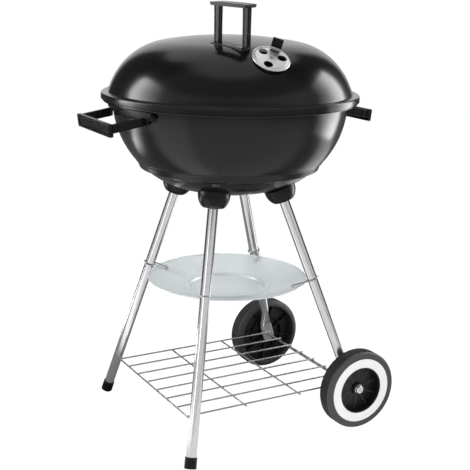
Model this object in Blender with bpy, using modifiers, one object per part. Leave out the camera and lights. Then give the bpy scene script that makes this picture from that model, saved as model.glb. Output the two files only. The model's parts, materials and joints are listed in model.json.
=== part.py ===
"""Kettle charcoal grill on four splayed tube legs, with an ash pan, a wire shelf and two wheels.

Metres, +Z up. The origin is on the floor, under the middle of the bowl. +X points to the
wheels and -Y to the front. The lid can be laid on turned any way round: here its handle and
its vent face the front.
"""
import math

import bmesh
import bpy
from mathutils import Matrix, Vector

# ---- driving dimensions -------------------------------------------------------------------
GAP = 0.0003                 # between pieces that touch
SHEET = 0.0012               # enamelled sheet of lid and bowl
STEPS = 36                   # facets round the large turned shells

RIM_R = 0.2200               # lid skirt, outside
RIM_Z = 0.5890               # top of the lid's flange
SKIRT_H = 0.0105
LIP_R = 0.2165               # bowl's turned-down lip, outside
LIP_BOTTOM = 0.5740

CROWN_R, CROWN_ANGLE = 0.6657, math.radians(10.0)
SHOULDER_R, SHOULDER_ANGLE = 0.1162, math.radians(70.4)
LID_TOP = 0.6838

WALL_R = 0.2004              # bowl, at its widest
WALL_ARC, WALL_ARC_Z = 0.1531, 0.5748
GROOVE_R = 0.1616            # top of the stamped ledge, which carries the charcoal grate
DISH_TOP_R = 0.1460          # foot of the ledge, where the lower dish starts
BOWL_BOTTOM = 0.4147
FLOOR_ARC, FLOOR_ANGLE = 0.3249, math.radians(16.75)
DISH_ARC = 0.1378

TUBE_R, TUBE_WALL = 0.00875, 0.0012
WHEEL_R, WHEEL_W, WHEEL_Y = 0.0707, 0.0318, 0.1597
AXLE_R = 0.0030
AXLE = Vector((0.1797, 0.0, WHEEL_R))
FLAT_Y, FLAT_T, FLAT_W = 0.1455, 0.0038, 0.0250      # flattened leg ends on the axle
SOCKET_R, SOCKET_H = 0.0275, 0.0234
LEG_EXIT = Vector((0.0700, 0.0737, 0.4040))          # where a leg leaves its socket
FOOT = Vector((0.1622, 0.1805, 0.0))                 # where a capped leg meets the floor
WHEEL_LEG_END = Vector((AXLE.x, 0.1435, AXLE.z))

PAN_R, PAN_Z = 0.1415, 0.2588
CLIP_Z, CLIP_WIRE = 0.2672, 0.0010
EYE_R, EYE_TURN = 0.1220, math.radians(-7.5)

SHELF_WIRE = 0.0015
SHELF_Z = AXLE.z + AXLE_R + GAP + SHELF_WIRE
SHELF_X0, SHELF_X1 = -0.1464, AXLE.x + 0.008
SHELF_Y = 0.1412
SHELF_RUNS = 8

SIDE_Z, SIDE_REACH, SIDE_LEN = 0.5445, 0.2522, 0.1370
SIDE_PLATE_H, SIDE_PLATE_T = 0.0210, 0.0070
SIDE_BOLT_ANGLE, SIDE_BOLT_Z = math.radians(24.4), 0.5650

KNOB = Vector((-0.0553, -0.0974, 0.6741))            # middle of the lid handle's seat
KNOB_TURN, KNOB_TILT = math.radians(-72.2), math.radians(3.0)
KNOB_LEN, KNOB_W = 0.0710, 0.0200
GRIP_LOW, GRIP_TOP, GRIP_Y = 0.0602, 0.0662, 0.0039     # grip plate, from the seat
POST_X, POST_Y, POST_A, POST_B = 0.0308, 0.0034, 0.0092, 0.0096

VENT_RADIUS, VENT_TURN = 0.1595, math.radians(-96.3)
VENT_DISC_R, VENT_HOLE_R, VENT_HOLE_PITCH = 0.0310, 0.0074, 0.0180
VENT_LIFT = 0.0022                                   # disc above the dome, on its rivet
VENT_TAB_ANGLE = math.radians(55.0)

COOK_R, COOK_WIRE = 0.1885, 0.0025
COOK_BARS, COOK_BAR_WIRE = 13, 0.0018
BRACKET_Z = 0.5570
COOK_Z = BRACKET_Z + GAP + COOK_WIRE
COAL_R, COAL_WIRE, COAL_Z, COAL_BARS = 0.1524, 0.0025, 0.4690, 7

BOLT_R, BOLT_HEAD_R, BOLT_HEAD_H = 0.0030, 0.0065, 0.0038
SCREW_R, SCREW_HEAD_R, SCREW_HEAD_H = 0.0020, 0.0045, 0.0028
CLEAR = 0.0004                                       # round a screw or a bolt in its hole


# ---- scene, collections, materials --------------------------------------------------------
for old in list(bpy.data.objects):
    bpy.data.objects.remove(old, do_unlink=True)

parts = bpy.data.collections.new("kettle_grill")
cutters = bpy.data.collections.new("cutters")
for collection in (parts, cutters):
    bpy.context.scene.collection.children.link(collection)


def material(name, colour, roughness, metallic):
    """One Principled material."""
    mat = bpy.data.materials.new(name)
    mat.use_nodes = True
    shader = mat.node_tree.nodes["Principled BSDF"]
    shader.inputs["Base Color"].default_value = (*colour, 1.0)
    shader.inputs["Roughness"].default_value = roughness
    shader.inputs["Metallic"].default_value = metallic
    return mat


ENAMEL = material("black_enamel", (0.012, 0.012, 0.013), 0.18, 0.0)
CHROME = material("chrome", (0.78, 0.78, 0.80), 0.12, 1.0)
STEEL = material("zinc_steel", (0.52, 0.52, 0.54), 0.32, 1.0)
GRATE = material("plated_wire", (0.62, 0.62, 0.63), 0.25, 1.0)
PAN = material("grey_sheet", (0.60, 0.66, 0.67), 0.45, 0.3)
BLACK = material("black_plastic", (0.018, 0.018, 0.018), 0.42, 0.0)
TYRE = material("grey_plastic", (0.065, 0.065, 0.065), 0.50, 0.0)
WHITE = material("white_plastic", (0.90, 0.90, 0.90), 0.35, 0.0)
VENT = material("aluminium", (0.82, 0.82, 0.82), 0.30, 1.0)


# ---- modelling helpers --------------------------------------------------------------------
def add_object(name, data, mat=None):
    """A part with its material or, without one, a cutter or an operand."""
    obj = bpy.data.objects.new(name, data)
    if mat is None:
        cutters.objects.link(obj)
        obj.hide_render = True
        obj.display_type = "WIRE"
    else:
        parts.objects.link(obj)
        data.materials.append(mat)
    return obj


def from_bmesh(name, bm, mat=None):
    """Make an object of a bmesh, shaded smooth with its edges kept sharp."""
    mesh = bpy.data.meshes.new(name)
    bm.to_mesh(mesh)
    bm.free()
    mesh.shade_smooth()
    mesh.set_sharp_from_angle(angle=math.radians(35))
    return add_object(name, mesh, mat)


def turned(name, profile, mat=None, steps=STEPS, closed=False, sheet=0.0):
    """Turn a profile of (radius, height) points about Z; sheet makes it a shell."""
    mesh = bpy.data.meshes.new(name)
    points = [(r, 0.0, z) for r, z in profile]
    edges = [(i, i + 1) for i in range(len(points) - 1)]
    if closed:
        edges.append((len(points) - 1, 0))
    mesh.from_pydata(points, edges, [])
    obj = add_object(name, mesh, mat)
    screw = obj.modifiers.new("Turn", "SCREW")
    screw.steps = screw.render_steps = steps
    screw.use_merge_vertices = True
    screw.merge_threshold = 0.00001
    screw.use_smooth_shade = True
    if sheet:
        shell = obj.modifiers.new("Sheet", "SOLIDIFY")
        shell.thickness = sheet
        shell.offset = -1.0
        shell.use_even_offset = True
    return obj


def arc(centre, radius, start, end, count):
    """Points on an arc in the (radius, height) plane; angles run from straight up."""
    step = (end - start) / (count - 1)
    turns = [start + step * i for i in range(count)]
    return [(centre[0] + radius * math.sin(a), centre[1] + radius * math.cos(a)) for a in turns]


def axis_frame(origin, axis, hint=Vector((0, 0, 1))):
    """A frame at origin whose Z is axis and whose X is square to hint."""
    z = Vector(axis).normalized()
    x = Vector(hint).cross(z)
    if x.length < 1e-6:
        x = Vector((1, 0, 0))
    x.normalize()
    y = z.cross(x)
    frame = Matrix((x, y, z)).transposed().to_4x4()
    frame.translation = origin
    return frame


def rod(name, start, end, radius, mat=None, sides=16, end_radius=None):
    """A straight round bar, or a cone, between two points."""
    start, end = Vector(start), Vector(end)
    bm = bmesh.new()
    other = radius if end_radius is None else end_radius
    bmesh.ops.create_cone(bm, cap_ends=True, segments=sides, radius1=radius, radius2=other,
                          depth=(end - start).length)
    obj = from_bmesh(name, bm, mat)
    obj.matrix_world = axis_frame((start + end) / 2, end - start)
    return obj


def block(name, size, mat=None, bevel=0.0, frame=Matrix.Identity(4)):
    """A box with rounded edges, centred on its frame."""
    bm = bmesh.new()
    bmesh.ops.create_cube(bm, size=1.0, matrix=Matrix.Diagonal((*size, 1.0)))
    if bevel:
        bmesh.ops.bevel(bm, geom=bm.edges[:], offset=bevel, segments=2, profile=0.5, affect="EDGES")
    obj = from_bmesh(name, bm, mat)
    obj.matrix_world = frame
    return obj


def boolean(obj, other, operation="DIFFERENCE"):
    """Cut or join with the exact solver."""
    mod = obj.modifiers.new(operation.title(), "BOOLEAN")
    mod.operation = operation
    mod.solver = "EXACT"
    mod.object = other
    return obj


def join_all(obj, others, group):
    """One Boolean union with every object of a list."""
    operands = bpy.data.collections.new(group)
    cutters.children.link(operands)
    for other in others:
        cutters.objects.unlink(other)
        operands.objects.link(other)
    mod = obj.modifiers.new("Union", "BOOLEAN")
    mod.operation = "UNION"
    mod.solver = "EXACT"
    mod.operand_type = "COLLECTION"
    mod.collection = operands
    return obj


def polar(radius, angle, height=0.0):
    """A point from its plan radius, plan angle and height."""
    return Vector((radius * math.cos(angle), radius * math.sin(angle), height))


def headed(name, frame, head_r, head_h, shank_r, shank_len, mat, sides=12):
    """A pan-headed screw: the head is above its frame's origin, the shank below."""
    profile = [(0, head_h), (head_r * 0.6, head_h), (head_r, head_h * 0.45), (head_r, 0), (shank_r, 0), (shank_r, -shank_len), (0, -shank_len)]
    obj = turned(name, profile, mat, steps=sides)
    obj.matrix_world = frame
    return obj


# ---- lid ----------------------------------------------------------------------------------
def dome_profile(offset=0.0):
    """The dome's outer line from its top down to its foot."""
    crown_c = (0.0, LID_TOP - CROWN_R)
    run = CROWN_R - SHOULDER_R
    shoulder_c = (run * math.sin(CROWN_ANGLE), crown_c[1] + run * math.cos(CROWN_ANGLE))
    crown = arc(crown_c, CROWN_R + offset, 0.0, CROWN_ANGLE, 4)
    shoulder = arc(shoulder_c, SHOULDER_R + offset, CROWN_ANGLE, SHOULDER_ANGLE, 7)
    return crown + shoulder[1:]


def dome_height(radius):
    """Height and slope angle of the dome's outside at a plan radius."""
    if radius < CROWN_R * math.sin(CROWN_ANGLE):
        slope = math.asin(radius / CROWN_R)
        return LID_TOP - CROWN_R + CROWN_R * math.cos(slope), slope
    run = CROWN_R - SHOULDER_R
    slope = math.asin((radius - run * math.sin(CROWN_ANGLE)) / SHOULDER_R)
    centre_z = LID_TOP - CROWN_R + run * math.cos(CROWN_ANGLE)
    return centre_z + SHOULDER_R * math.cos(slope), slope


def vent_frame(lift=0.0):
    """Frame of the vent: Z out of the dome, X along the dome, Y uphill."""
    height, slope = dome_height(VENT_RADIUS)
    out = polar(1.0, VENT_TURN)
    normal = (out * math.sin(slope) + Vector((0, 0, math.cos(slope)))).normalized()
    along = Vector((0, 0, 1)).cross(out)
    frame = Matrix((along, normal.cross(along), normal)).transposed().to_4x4()
    frame.translation = polar(VENT_RADIUS, VENT_TURN, height) + normal * lift
    return frame


def knob_frame():
    """Frame of the lid handle on its seat: X along its grip, Z up and tipped a little outwards."""
    level = Vector((0, 0, 1)).cross(Vector((KNOB.x, KNOB.y, 0))).normalized()
    tip = Matrix.Rotation(KNOB_TILT, 4, level)
    return Matrix.Translation(KNOB) @ tip @ Matrix.Rotation(KNOB_TURN, 4, "Z")


def vent_holes(name, hole_r, depth, frame):
    """Cutters for the three air holes."""
    holes = []
    for i in range(3):
        angle = math.radians(-4.5 + 120 * i)
        centre = Vector((VENT_HOLE_PITCH * math.cos(angle), VENT_HOLE_PITCH * math.sin(angle), 0))
        ends = [frame @ (centre + Vector((0, 0, side * depth))) for side in (-1, 1)]
        holes.append(rod(f"{name}_{i + 1}", ends[0], ends[1], hole_r, sides=16))
    return holes


def make_lid():
    foot = [(0.2085, RIM_Z + 0.0004), (0.2170, RIM_Z), (RIM_R - 0.0006, RIM_Z - 0.0012),
            (RIM_R, RIM_Z - 0.0030), (RIM_R, RIM_Z - SKIRT_H)]
    lid = turned("lid_shell", dome_profile() + foot, ENAMEL, sheet=SHEET)
    vent = vent_frame()
    for hole in vent_holes("lid_air_hole", VENT_HOLE_R - 0.0006, 0.012, vent):
        boolean(lid, hole)
    rivet_hole = rod("lid_rivet_hole", vent @ Vector((0, 0, -0.01)), vent @ Vector((0, 0, 0.01)),
                     SCREW_R + CLEAR)
    boolean(lid, rivet_hole)
    for i, side in enumerate((-1, 1)):
        ends = [knob_frame() @ Vector((side * POST_X, POST_Y, z)) for z in (-0.030, 0.020)]
        boolean(lid, rod(f"lid_screw_hole_{i + 1}", *ends, SCREW_R + CLEAR))


def make_lid_handle():
    """One moulding: seat, two posts and a grip plate with slanted ends."""
    rake = Matrix.Translation((0, 0, 0.0019)) @ Matrix.Rotation(math.radians(3.06), 4, "Y")
    handle = block("lid_handle", (KNOB_LEN, KNOB_W, 0.0300), BLACK, 0.0012,
                   knob_frame() @ rake @ Matrix.Translation((0, 0, -0.0150)))
    posts = [block(f"lid_handle_post_{i + 1}", (POST_A, POST_B, GRIP_LOW + 0.0100), None, 0.0014,
                   knob_frame() @ Matrix.Translation((side * POST_X, POST_Y, GRIP_LOW / 2 - 0.0030)))
             for i, side in enumerate((-1, 1))]
    bm = bmesh.new()
    half_low, half_high, half_w = 0.0367, 0.0394, 0.0127
    outline = [(-half_low, GRIP_LOW), (half_low, GRIP_LOW), (half_high, GRIP_TOP - 0.0007),
               (half_high * 0.55, GRIP_TOP), (-half_high * 0.55, GRIP_TOP), (-half_high, GRIP_TOP - 0.0007)]
    face = bm.faces.new([bm.verts.new((x, -half_w, z)) for x, z in outline])
    extruded = bmesh.ops.extrude_face_region(bm, geom=[face])
    moved = [v for v in extruded["geom"] if isinstance(v, bmesh.types.BMVert)]
    bmesh.ops.translate(bm, verts=moved, vec=(0, 2 * half_w, 0))
    bmesh.ops.recalc_face_normals(bm, faces=bm.faces[:])
    bmesh.ops.bevel(bm, geom=bm.edges[:], offset=0.0009, segments=1, affect="EDGES")
    grip = from_bmesh("lid_handle_grip", bm)
    grip.matrix_world = knob_frame() @ Matrix.Translation((0, GRIP_Y, 0))
    join_all(handle, posts + [grip], "lid_handle_pieces")
    low = 0.60
    dome = turned("dome_under_handle", dome_profile(GAP)[:-2] + [(0.19, low), (0, low)])
    boolean(handle, dome)
    for i, side in enumerate((-1, 1)):
        ends = [knob_frame() @ Vector((side * POST_X, POST_Y, z)) for z in (-0.0350, 0.0230)]
        boolean(handle, rod(f"lid_handle_pilot_{i + 1}", *ends, SCREW_R + CLEAR))


def make_lid_screws():
    """Two screws come up through the dome into the posts, heads inside the lid."""
    for i, side in enumerate((-1, 1)):
        spot = knob_frame() @ Vector((side * POST_X, POST_Y, 0))
        reach = math.hypot(spot.x, spot.y) + SCREW_HEAD_R
        drop = spot.z - (dome_height(reach)[0] - SHEET * 1.2 - 2 * GAP)
        head_down = knob_frame() @ Matrix.Translation((side * POST_X, POST_Y, -drop))
        head_down = head_down @ Matrix.Rotation(math.pi, 4, "X")
        headed(f"lid_handle_screw_{i + 1}", head_down, SCREW_HEAD_R, SCREW_HEAD_H, SCREW_R, 0.016, STEEL)


def make_vent():
    """A slightly dished disc with three holes and a slot, turned by a bent-up tab."""
    frame = vent_frame(VENT_LIFT)
    edge = VENT_DISC_R
    profile = [(0, 0.0010), (edge - 0.0055, 0.0006), (edge - 0.0042, -0.0002), (edge, -0.0006),
               (edge, -0.0016), (edge - 0.0050, -0.0012), (edge - 0.0062, -0.0004), (0, 0.0)]
    disc = turned("lid_damper_disc", profile, VENT, steps=24)
    disc.matrix_world = frame
    tab = frame @ Matrix.Rotation(VENT_TAB_ANGLE, 4, "Z")
    tongue_h = 0.0120
    tongue = block("lid_damper_tongue", (0.0010, 0.0120, tongue_h), None, 0.0,
                   tab @ Matrix.Translation((edge - 0.0022, 0, tongue_h / 2 - 0.0006)))
    join_all(disc, [tongue], "lid_damper_pieces")
    for hole in vent_holes("disc_air_hole", VENT_HOLE_R, 0.004, frame):
        boolean(disc, hole)
    slot = block("disc_slot", (0.0034, 0.0150, 0.01), None, 0.0, tab @ Matrix.Translation((0.0195, 0, 0)))
    boolean(disc, slot)
    pin = rod("disc_rivet_hole", frame @ Vector((0, 0, -0.01)), frame @ Vector((0, 0, 0.01)),
              SCREW_R + CLEAR)
    boolean(disc, pin)
    sleeve = block("lid_damper_tab", (0.0034, 0.0172, 0.0165), BLACK, 0.0006,
                   tab @ Matrix.Translation((edge - 0.0022, 0, 0.0108)))
    pocket = block("tab_pocket", (0.0010 + 2 * GAP, 0.0120 + 2 * GAP, 0.0120), None, 0.0,
                   tab @ Matrix.Translation((edge - 0.0022, 0, 0.0057)))
    boolean(sleeve, pocket)
    rivet_profile = [(0, 0.0030), (0.0026, 0.0028), (0.0042, 0.0016), (0.0044, 0.0013), (SCREW_R, 0.0013),
                     (SCREW_R, -0.0050), (0.0042, -0.0050), (0.0042, -0.0062), (0, -0.0066)]
    rivet = turned("lid_damper_rivet", rivet_profile, STEEL, steps=16)
    rivet.matrix_world = frame


# ---- bowl ---------------------------------------------------------------------------------
def floor_profile(offset, end_radius, count):
    """The bowl's spherical floor, from a radius in to the middle."""
    centre = (0.0, BOWL_BOTTOM + FLOOR_ARC)
    turn = math.asin(end_radius / (FLOOR_ARC + offset))
    return arc(centre, FLOOR_ARC + offset, math.pi - turn, math.pi, count)


def bowl_profile():
    """The bowl's outer line: lip, flange, wall, stamped ledge, lower dish and floor."""
    flange = RIM_Z - 2 * SHEET - GAP - 0.0002
    lip = LIP_R - SHEET
    rim = [(lip, LIP_BOTTOM), (lip, flange - 0.0014), (lip - 0.0014, flange), (WALL_R, flange)]
    wall_c = (WALL_R - WALL_ARC, WALL_ARC_Z)
    wall_end = math.pi - math.asin((GROOVE_R - wall_c[0]) / WALL_ARC)
    wall = arc(wall_c, WALL_ARC, math.pi / 2, wall_end, 5)
    groove_z = wall[-1][1]
    ledge = [(GROOVE_R - 0.0023, groove_z - 0.0028), (0.1532, 0.4620), (0.1516, 0.4606)]
    run = FLOOR_ARC - DISH_ARC
    dish_c = (run * math.sin(FLOOR_ANGLE), BOWL_BOTTOM + FLOOR_ARC - run * math.cos(FLOOR_ANGLE))
    dish_start = math.pi - math.asin((DISH_TOP_R - dish_c[0]) / DISH_ARC)
    dish = arc(dish_c, DISH_ARC, dish_start, math.pi - FLOOR_ANGLE, 3)
    floor = floor_profile(0.0, FLOOR_ARC * math.sin(FLOOR_ANGLE), 4)
    return rim + wall + ledge + dish + floor[1:]


def bowl_underside():
    """A solid in the shape of the lower bowl, a gap larger all round, to fit pieces against it."""
    outside = floor_profile(GAP, (FLOOR_ARC + GAP) * math.sin(FLOOR_ANGLE), 6)[::-1]
    run = FLOOR_ARC - DISH_ARC
    dish_c = (run * math.sin(FLOOR_ANGLE), BOWL_BOTTOM + FLOOR_ARC - run * math.cos(FLOOR_ANGLE))
    dish_end = math.pi - math.asin((DISH_TOP_R - dish_c[0]) / DISH_ARC)
    outside += arc(dish_c, DISH_ARC + GAP, math.pi - FLOOR_ANGLE, dish_end, 5)[1:]
    return [(0.0, 0.4900), (DISH_TOP_R + 0.0060, 0.4900), (DISH_TOP_R + 0.0060, 0.4640)] + outside[::-1]


def leg_line(index):
    """Exit point from the socket and unit direction up the leg, for one of the four legs."""
    wheel_side, rear = LEGS[index][1], LEGS[index][2]
    sign = Vector((1 if wheel_side else -1, 1 if rear else -1, 1))
    exit_point = Vector([LEG_EXIT[k] * sign[k] for k in range(3)])
    low = WHEEL_LEG_END if wheel_side else FOOT
    low = Vector([low[k] * sign[k] for k in range(3)])
    return exit_point, (exit_point - low).normalized()


LEGS = [("front_left", False, False), ("rear_left", False, True),
        ("front_right", True, False), ("rear_right", True, True)]


def reach_floor(point, direction, radius):
    """Distance along a leg to the sphere of the bowl's floor."""
    offset = point - Vector((0, 0, BOWL_BOTTOM + FLOOR_ARC))
    b = offset.dot(direction)
    return -b - math.sqrt(b * b - offset.length_squared + radius * radius)


def make_bowl():
    bowl = turned("bowl_shell", bowl_profile(), ENAMEL, sheet=SHEET)
    for index, (name, _, _) in enumerate(LEGS):
        point, up = leg_line(index)
        middle = point + up * reach_floor(point, up, FLOOR_ARC)
        boolean(bowl, rod(f"bowl_leg_hole_{name}", middle - up * 0.008, middle + up * 0.008, BOLT_R + CLEAR))
    for hole in air_cutters("bowl_air_hole", 0.0100):
        boolean(bowl, hole)
    boolean(bowl, rod("bowl_rivet_hole", (0, 0, BOWL_BOTTOM - 0.01), (0, 0, BOWL_BOTTOM + 0.01),
                      SCREW_R + CLEAR))
    for angle in side_bolt_angles():
        boolean(bowl, rod(f"bowl_handle_hole_{round(math.degrees(angle))}", polar(0.190, angle, SIDE_BOLT_Z),
                          polar(0.208, angle, SIDE_BOLT_Z), SCREW_R + CLEAR))


def air_cutters(name, radius):
    """Three air holes round the middle of the bowl's floor."""
    spots = [polar(0.0270, math.radians(90 + 120 * i), BOWL_BOTTOM) for i in range(3)]
    return [rod(f"{name}_{i + 1}", p - Vector((0, 0, 0.012)), p + Vector((0, 0, 0.012)), radius, sides=16)
            for i, p in enumerate(spots)]


def make_bowl_damper():
    """A dished disc under the floor, turned by a bent-down tab."""
    under = floor_profile(GAP * 1.7, 0.0430, 3)
    outer = [(r, z - SHEET) for r, z in under]
    disc = turned("bowl_damper_disc", list(reversed(under)) + outer, VENT, steps=24)
    tab_x = 0.0425
    tab = block("bowl_damper_tab", (0.0014, 0.014, 0.014), None, 0.0,
                Matrix.Translation((tab_x - 0.002, 0, BOWL_BOTTOM - 0.0055)))
    join_all(disc, [tab], "bowl_damper_pieces")
    for hole in air_cutters("damper_air_hole", 0.0105):
        boolean(disc, hole)
    boolean(disc, rod("damper_rivet_hole", (0, 0, BOWL_BOTTOM - 0.01), (0, 0, BOWL_BOTTOM + 0.01),
                      SCREW_R + CLEAR))
    low = BOWL_BOTTOM - SHEET - GAP * 3
    high = BOWL_BOTTOM + SHEET + GAP
    rivet = [(0, high + 0.0018), (0.0042, high + 0.0010), (0.0044, high), (SCREW_R, high), (SCREW_R, low),
             (0.0044, low), (0.0042, low - 0.0012), (0, low - 0.0020)]
    turned("bowl_damper_rivet", rivet, STEEL, steps=16)


def make_grates():
    """Cooking grate on four brackets, charcoal grate on the stamped ledge."""
    for name, ring_r, wire, height, bars, bar_wire, sides in (
            ("cooking_grate", COOK_R, COOK_WIRE, COOK_Z, COOK_BARS, COOK_BAR_WIRE, 6),
            ("charcoal_grate", COAL_R, COAL_WIRE, COAL_Z, COAL_BARS, 0.0024, 6)):
        section = [(ring_r + wire * math.cos(a), height - wire * math.sin(a))
                   for a in [math.radians(60 * k) for k in range(6)]]
        ring = turned(name, section, GRATE, steps=30, closed=True)
        pitch = 2 * ring_r / (bars + 1)
        runs = []
        for k in range(bars):
            y = -ring_r + pitch * (k + 1)
            half = math.sqrt(ring_r ** 2 - y ** 2)
            runs.append(rod(f"{name}_bar_{k + 1}", (-half + 0.0007, y, height), (half - 0.0007, y, height), bar_wire,
                            sides=sides))
        for side in (-1, 1):
            x = side * ring_r * 0.42
            half = math.sqrt(ring_r ** 2 - x ** 2)
            low = height - bar_wire * 0.83
            runs.append(rod(f"{name}_tie_{side}", (x, -half + 0.001, low), (x, half - 0.001, low), bar_wire,
                            sides=sides))
        join_all(ring, runs, f"{name}_runs")
    for i in range(4):
        turn = Matrix.Rotation(math.radians(45 + 90 * i), 4, "Z")
        tab = block(f"grate_bracket_{i + 1}", (0.0140, 0.0160, 0.0015), STEEL, 0.0,
                    turn @ Matrix.Translation((0.1867, 0, BRACKET_Z - 0.00075)))
        web = block(f"grate_bracket_web_{i + 1}", (0.0015, 0.0150, 0.0160), None, 0.0,
                    turn @ Matrix.Translation((0.1928, 0, BRACKET_Z - 0.0084)))
        join_all(tab, [web], f"grate_bracket_pieces_{i + 1}")


# ---- side handles -------------------------------------------------------------------------
def side_bolt_angles():
    return [base + side * SIDE_BOLT_ANGLE for base in (0.0, math.pi) for side in (-1, 1)]


def make_side_handles():
    """Each is one moulding: a curved foot on the bowl, two arms and a grip plate."""
    droop = math.radians(9.4)
    lean = math.radians(7.0)
    for label, turn in (("right", 0.0), ("left", math.pi)):
        frame = Matrix.Rotation(turn, 4, "Z")
        plate_x = SIDE_REACH - SIDE_PLATE_T / 2 - 0.0012
        plate = block(f"side_handle_{label}", (SIDE_PLATE_T, SIDE_LEN, SIDE_PLATE_H), BLACK, 0.0012,
                      frame @ Matrix.Translation((plate_x, 0, SIDE_Z)) @ Matrix.Rotation(lean, 4, "Y"))
        arms = [block(f"side_arm_{label}_{i + 1}", (0.0550, 0.0060, 0.0140), None, 0.0010,
                      frame @ Matrix.Translation((0.2195, side * (SIDE_LEN / 2 - 0.0034), 0.5512))
                      @ Matrix.Rotation(droop, 4, "Y"))
                for i, side in enumerate((-1, 1))]
        bm = bmesh.new()
        half = [(0, 0.5612, 0.5712), (8, 0.5612, 0.5712), (14.8, 0.5612, 0.5713), (16.2, 0.5500, 0.5715),
                (20.6, 0.5500, 0.5715), (24.6, 0.5598, 0.5700), (26.4, 0.5618, 0.5684)]
        edge = [(-a, low, high) for a, low, high in half[:0:-1]] + half
        rows = [[bm.verts.new(polar(WALL_R + 0.0005, math.radians(e[0]), e[k])) for e in edge] for k in (1, 2)]
        for k in range(len(edge) - 1):
            bm.faces.new((rows[0][k], rows[0][k + 1], rows[1][k + 1], rows[1][k]))
        foot = from_bmesh(f"side_foot_{label}", bm)
        foot.matrix_world = frame
        thick = foot.modifiers.new("Thickness", "SOLIDIFY")
        thick.thickness = 0.0042
        thick.offset = 1.0
        join_all(plate, arms + [foot], f"side_handle_pieces_{label}")
        for side in (-1, 1):
            angle = turn + side * SIDE_BOLT_ANGLE
            tag = f"{label}_{'front' if math.sin(angle) < 0 else 'rear'}"
            boolean(plate, rod(f"side_hole_{tag}", polar(0.190, angle, SIDE_BOLT_Z),
                               polar(0.215, angle, SIDE_BOLT_Z), SCREW_R + CLEAR))
            out = polar(1.0, angle)
            head = axis_frame(polar(WALL_R + 0.0005 + 0.0042 + GAP, angle, SIDE_BOLT_Z), out)
            headed(f"side_handle_bolt_{tag}", head, SCREW_HEAD_R, SCREW_HEAD_H, SCREW_R, 0.0122, BLACK)
            inside = WALL_R - SHEET - 0.0025
            nut_profile = [(0.0040, 0), (0.0040, -0.0028), (SCREW_R + CLEAR, -0.0028), (SCREW_R + CLEAR, 0)]
            nut = turned(f"side_handle_nut_{tag}", nut_profile, STEEL, steps=6, closed=True)
            nut.matrix_world = axis_frame(polar(inside, angle, SIDE_BOLT_Z), out)


# ---- legs, sockets, feet ------------------------------------------------------------------
def make_legs():
    for index, (name, wheel_side, _) in enumerate(LEGS):
        point, up = leg_line(index)
        reach = reach_floor(point, up, FLOOR_ARC) - 0.0009
        top = point + up * reach
        if wheel_side:
            flattened_leg(f"leg_{name}", top, up)
        else:
            capped_leg(name, top, up)
        socket_profile = [(SOCKET_R, SOCKET_H + 0.0110), (SOCKET_R, SOCKET_H), (0.0268, 0.0160),
                          (0.0240, 0.0084), (0.0196, 0.0018),
                          (0.0170, 0.0), (TUBE_R + GAP, 0.0), (TUBE_R + GAP, 0.0040), (0.0180, 0.0044),
                          (0.0238, 0.0140), (SOCKET_R - 0.0020, SOCKET_H),
                          (SOCKET_R - 0.0020, SOCKET_H + 0.0110)]
        socket = turned(f"leg_socket_{name}", socket_profile, BLACK, steps=18, closed=True)
        socket.matrix_world = axis_frame(point, up)
        boolean(socket, turned(f"bowl_over_socket_{name}", bowl_underside()))
        bore = BOLT_R + CLEAR
        plug_r = TUBE_R - TUBE_WALL - GAP
        plug_profile = [(plug_r, -0.0010), (plug_r, -0.0190), (bore, -0.0190), (bore, -0.0010)]
        plug = turned(f"leg_insert_{name}", plug_profile, STEEL, steps=12, closed=True)
        plug.matrix_world = axis_frame(top, up)
        seat = top + up * (0.0009 + SHEET * 1.1 + 0.0017)
        headed(f"leg_bolt_{name}", axis_frame(seat, up), BOLT_HEAD_R, BOLT_HEAD_H, BOLT_R, 0.0180, STEEL)


def capped_leg(name, top, up):
    """A plain tube whose foot stands in a plastic cap, cut level with the floor."""
    rear = 1 if "rear" in name else -1
    foot = Vector((-FOOT.x, rear * FOOT.y, 0.0))
    cap_end = foot + up * (0.0023 / up.z)
    low = cap_end + up * 0.0033
    leg = turned(f"leg_{name}", tube_profile((top - low).length), CHROME, steps=20, closed=True)
    leg.matrix_world = axis_frame(low, up)
    peg_z = SHELF_Z - 2 * SHELF_WIRE + 0.0002
    boolean(leg, rod(f"leg_peg_hole_{name}", (SHELF_X0, rear * 0.146, peg_z), (SHELF_X0, rear * 0.1600, peg_z),
                     SHELF_WIRE + CLEAR, sides=12))
    wall = 0.00125
    bore = TUBE_R + GAP
    cap_profile = [(bore + wall - 0.0003, 0.0180), (bore + wall, 0.0), (0, 0), (0, 0.0030), (bore, 0.0030),
                   (bore, 0.0180)]
    cap = turned(f"foot_cap_{name}", cap_profile + [cap_profile[0]], BLACK, steps=24)
    cap.matrix_world = axis_frame(cap_end, up)
    ground = block(f"ground_{name}", (0.06, 0.06, 0.02), None, 0.0,
                   Matrix.Translation((foot.x, foot.y, -0.01)))
    boolean(cap, ground)


def tube_profile(length):
    inner = TUBE_R - TUBE_WALL
    return [(TUBE_R, length), (TUBE_R, 0), (inner, 0), (inner, length)]


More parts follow.
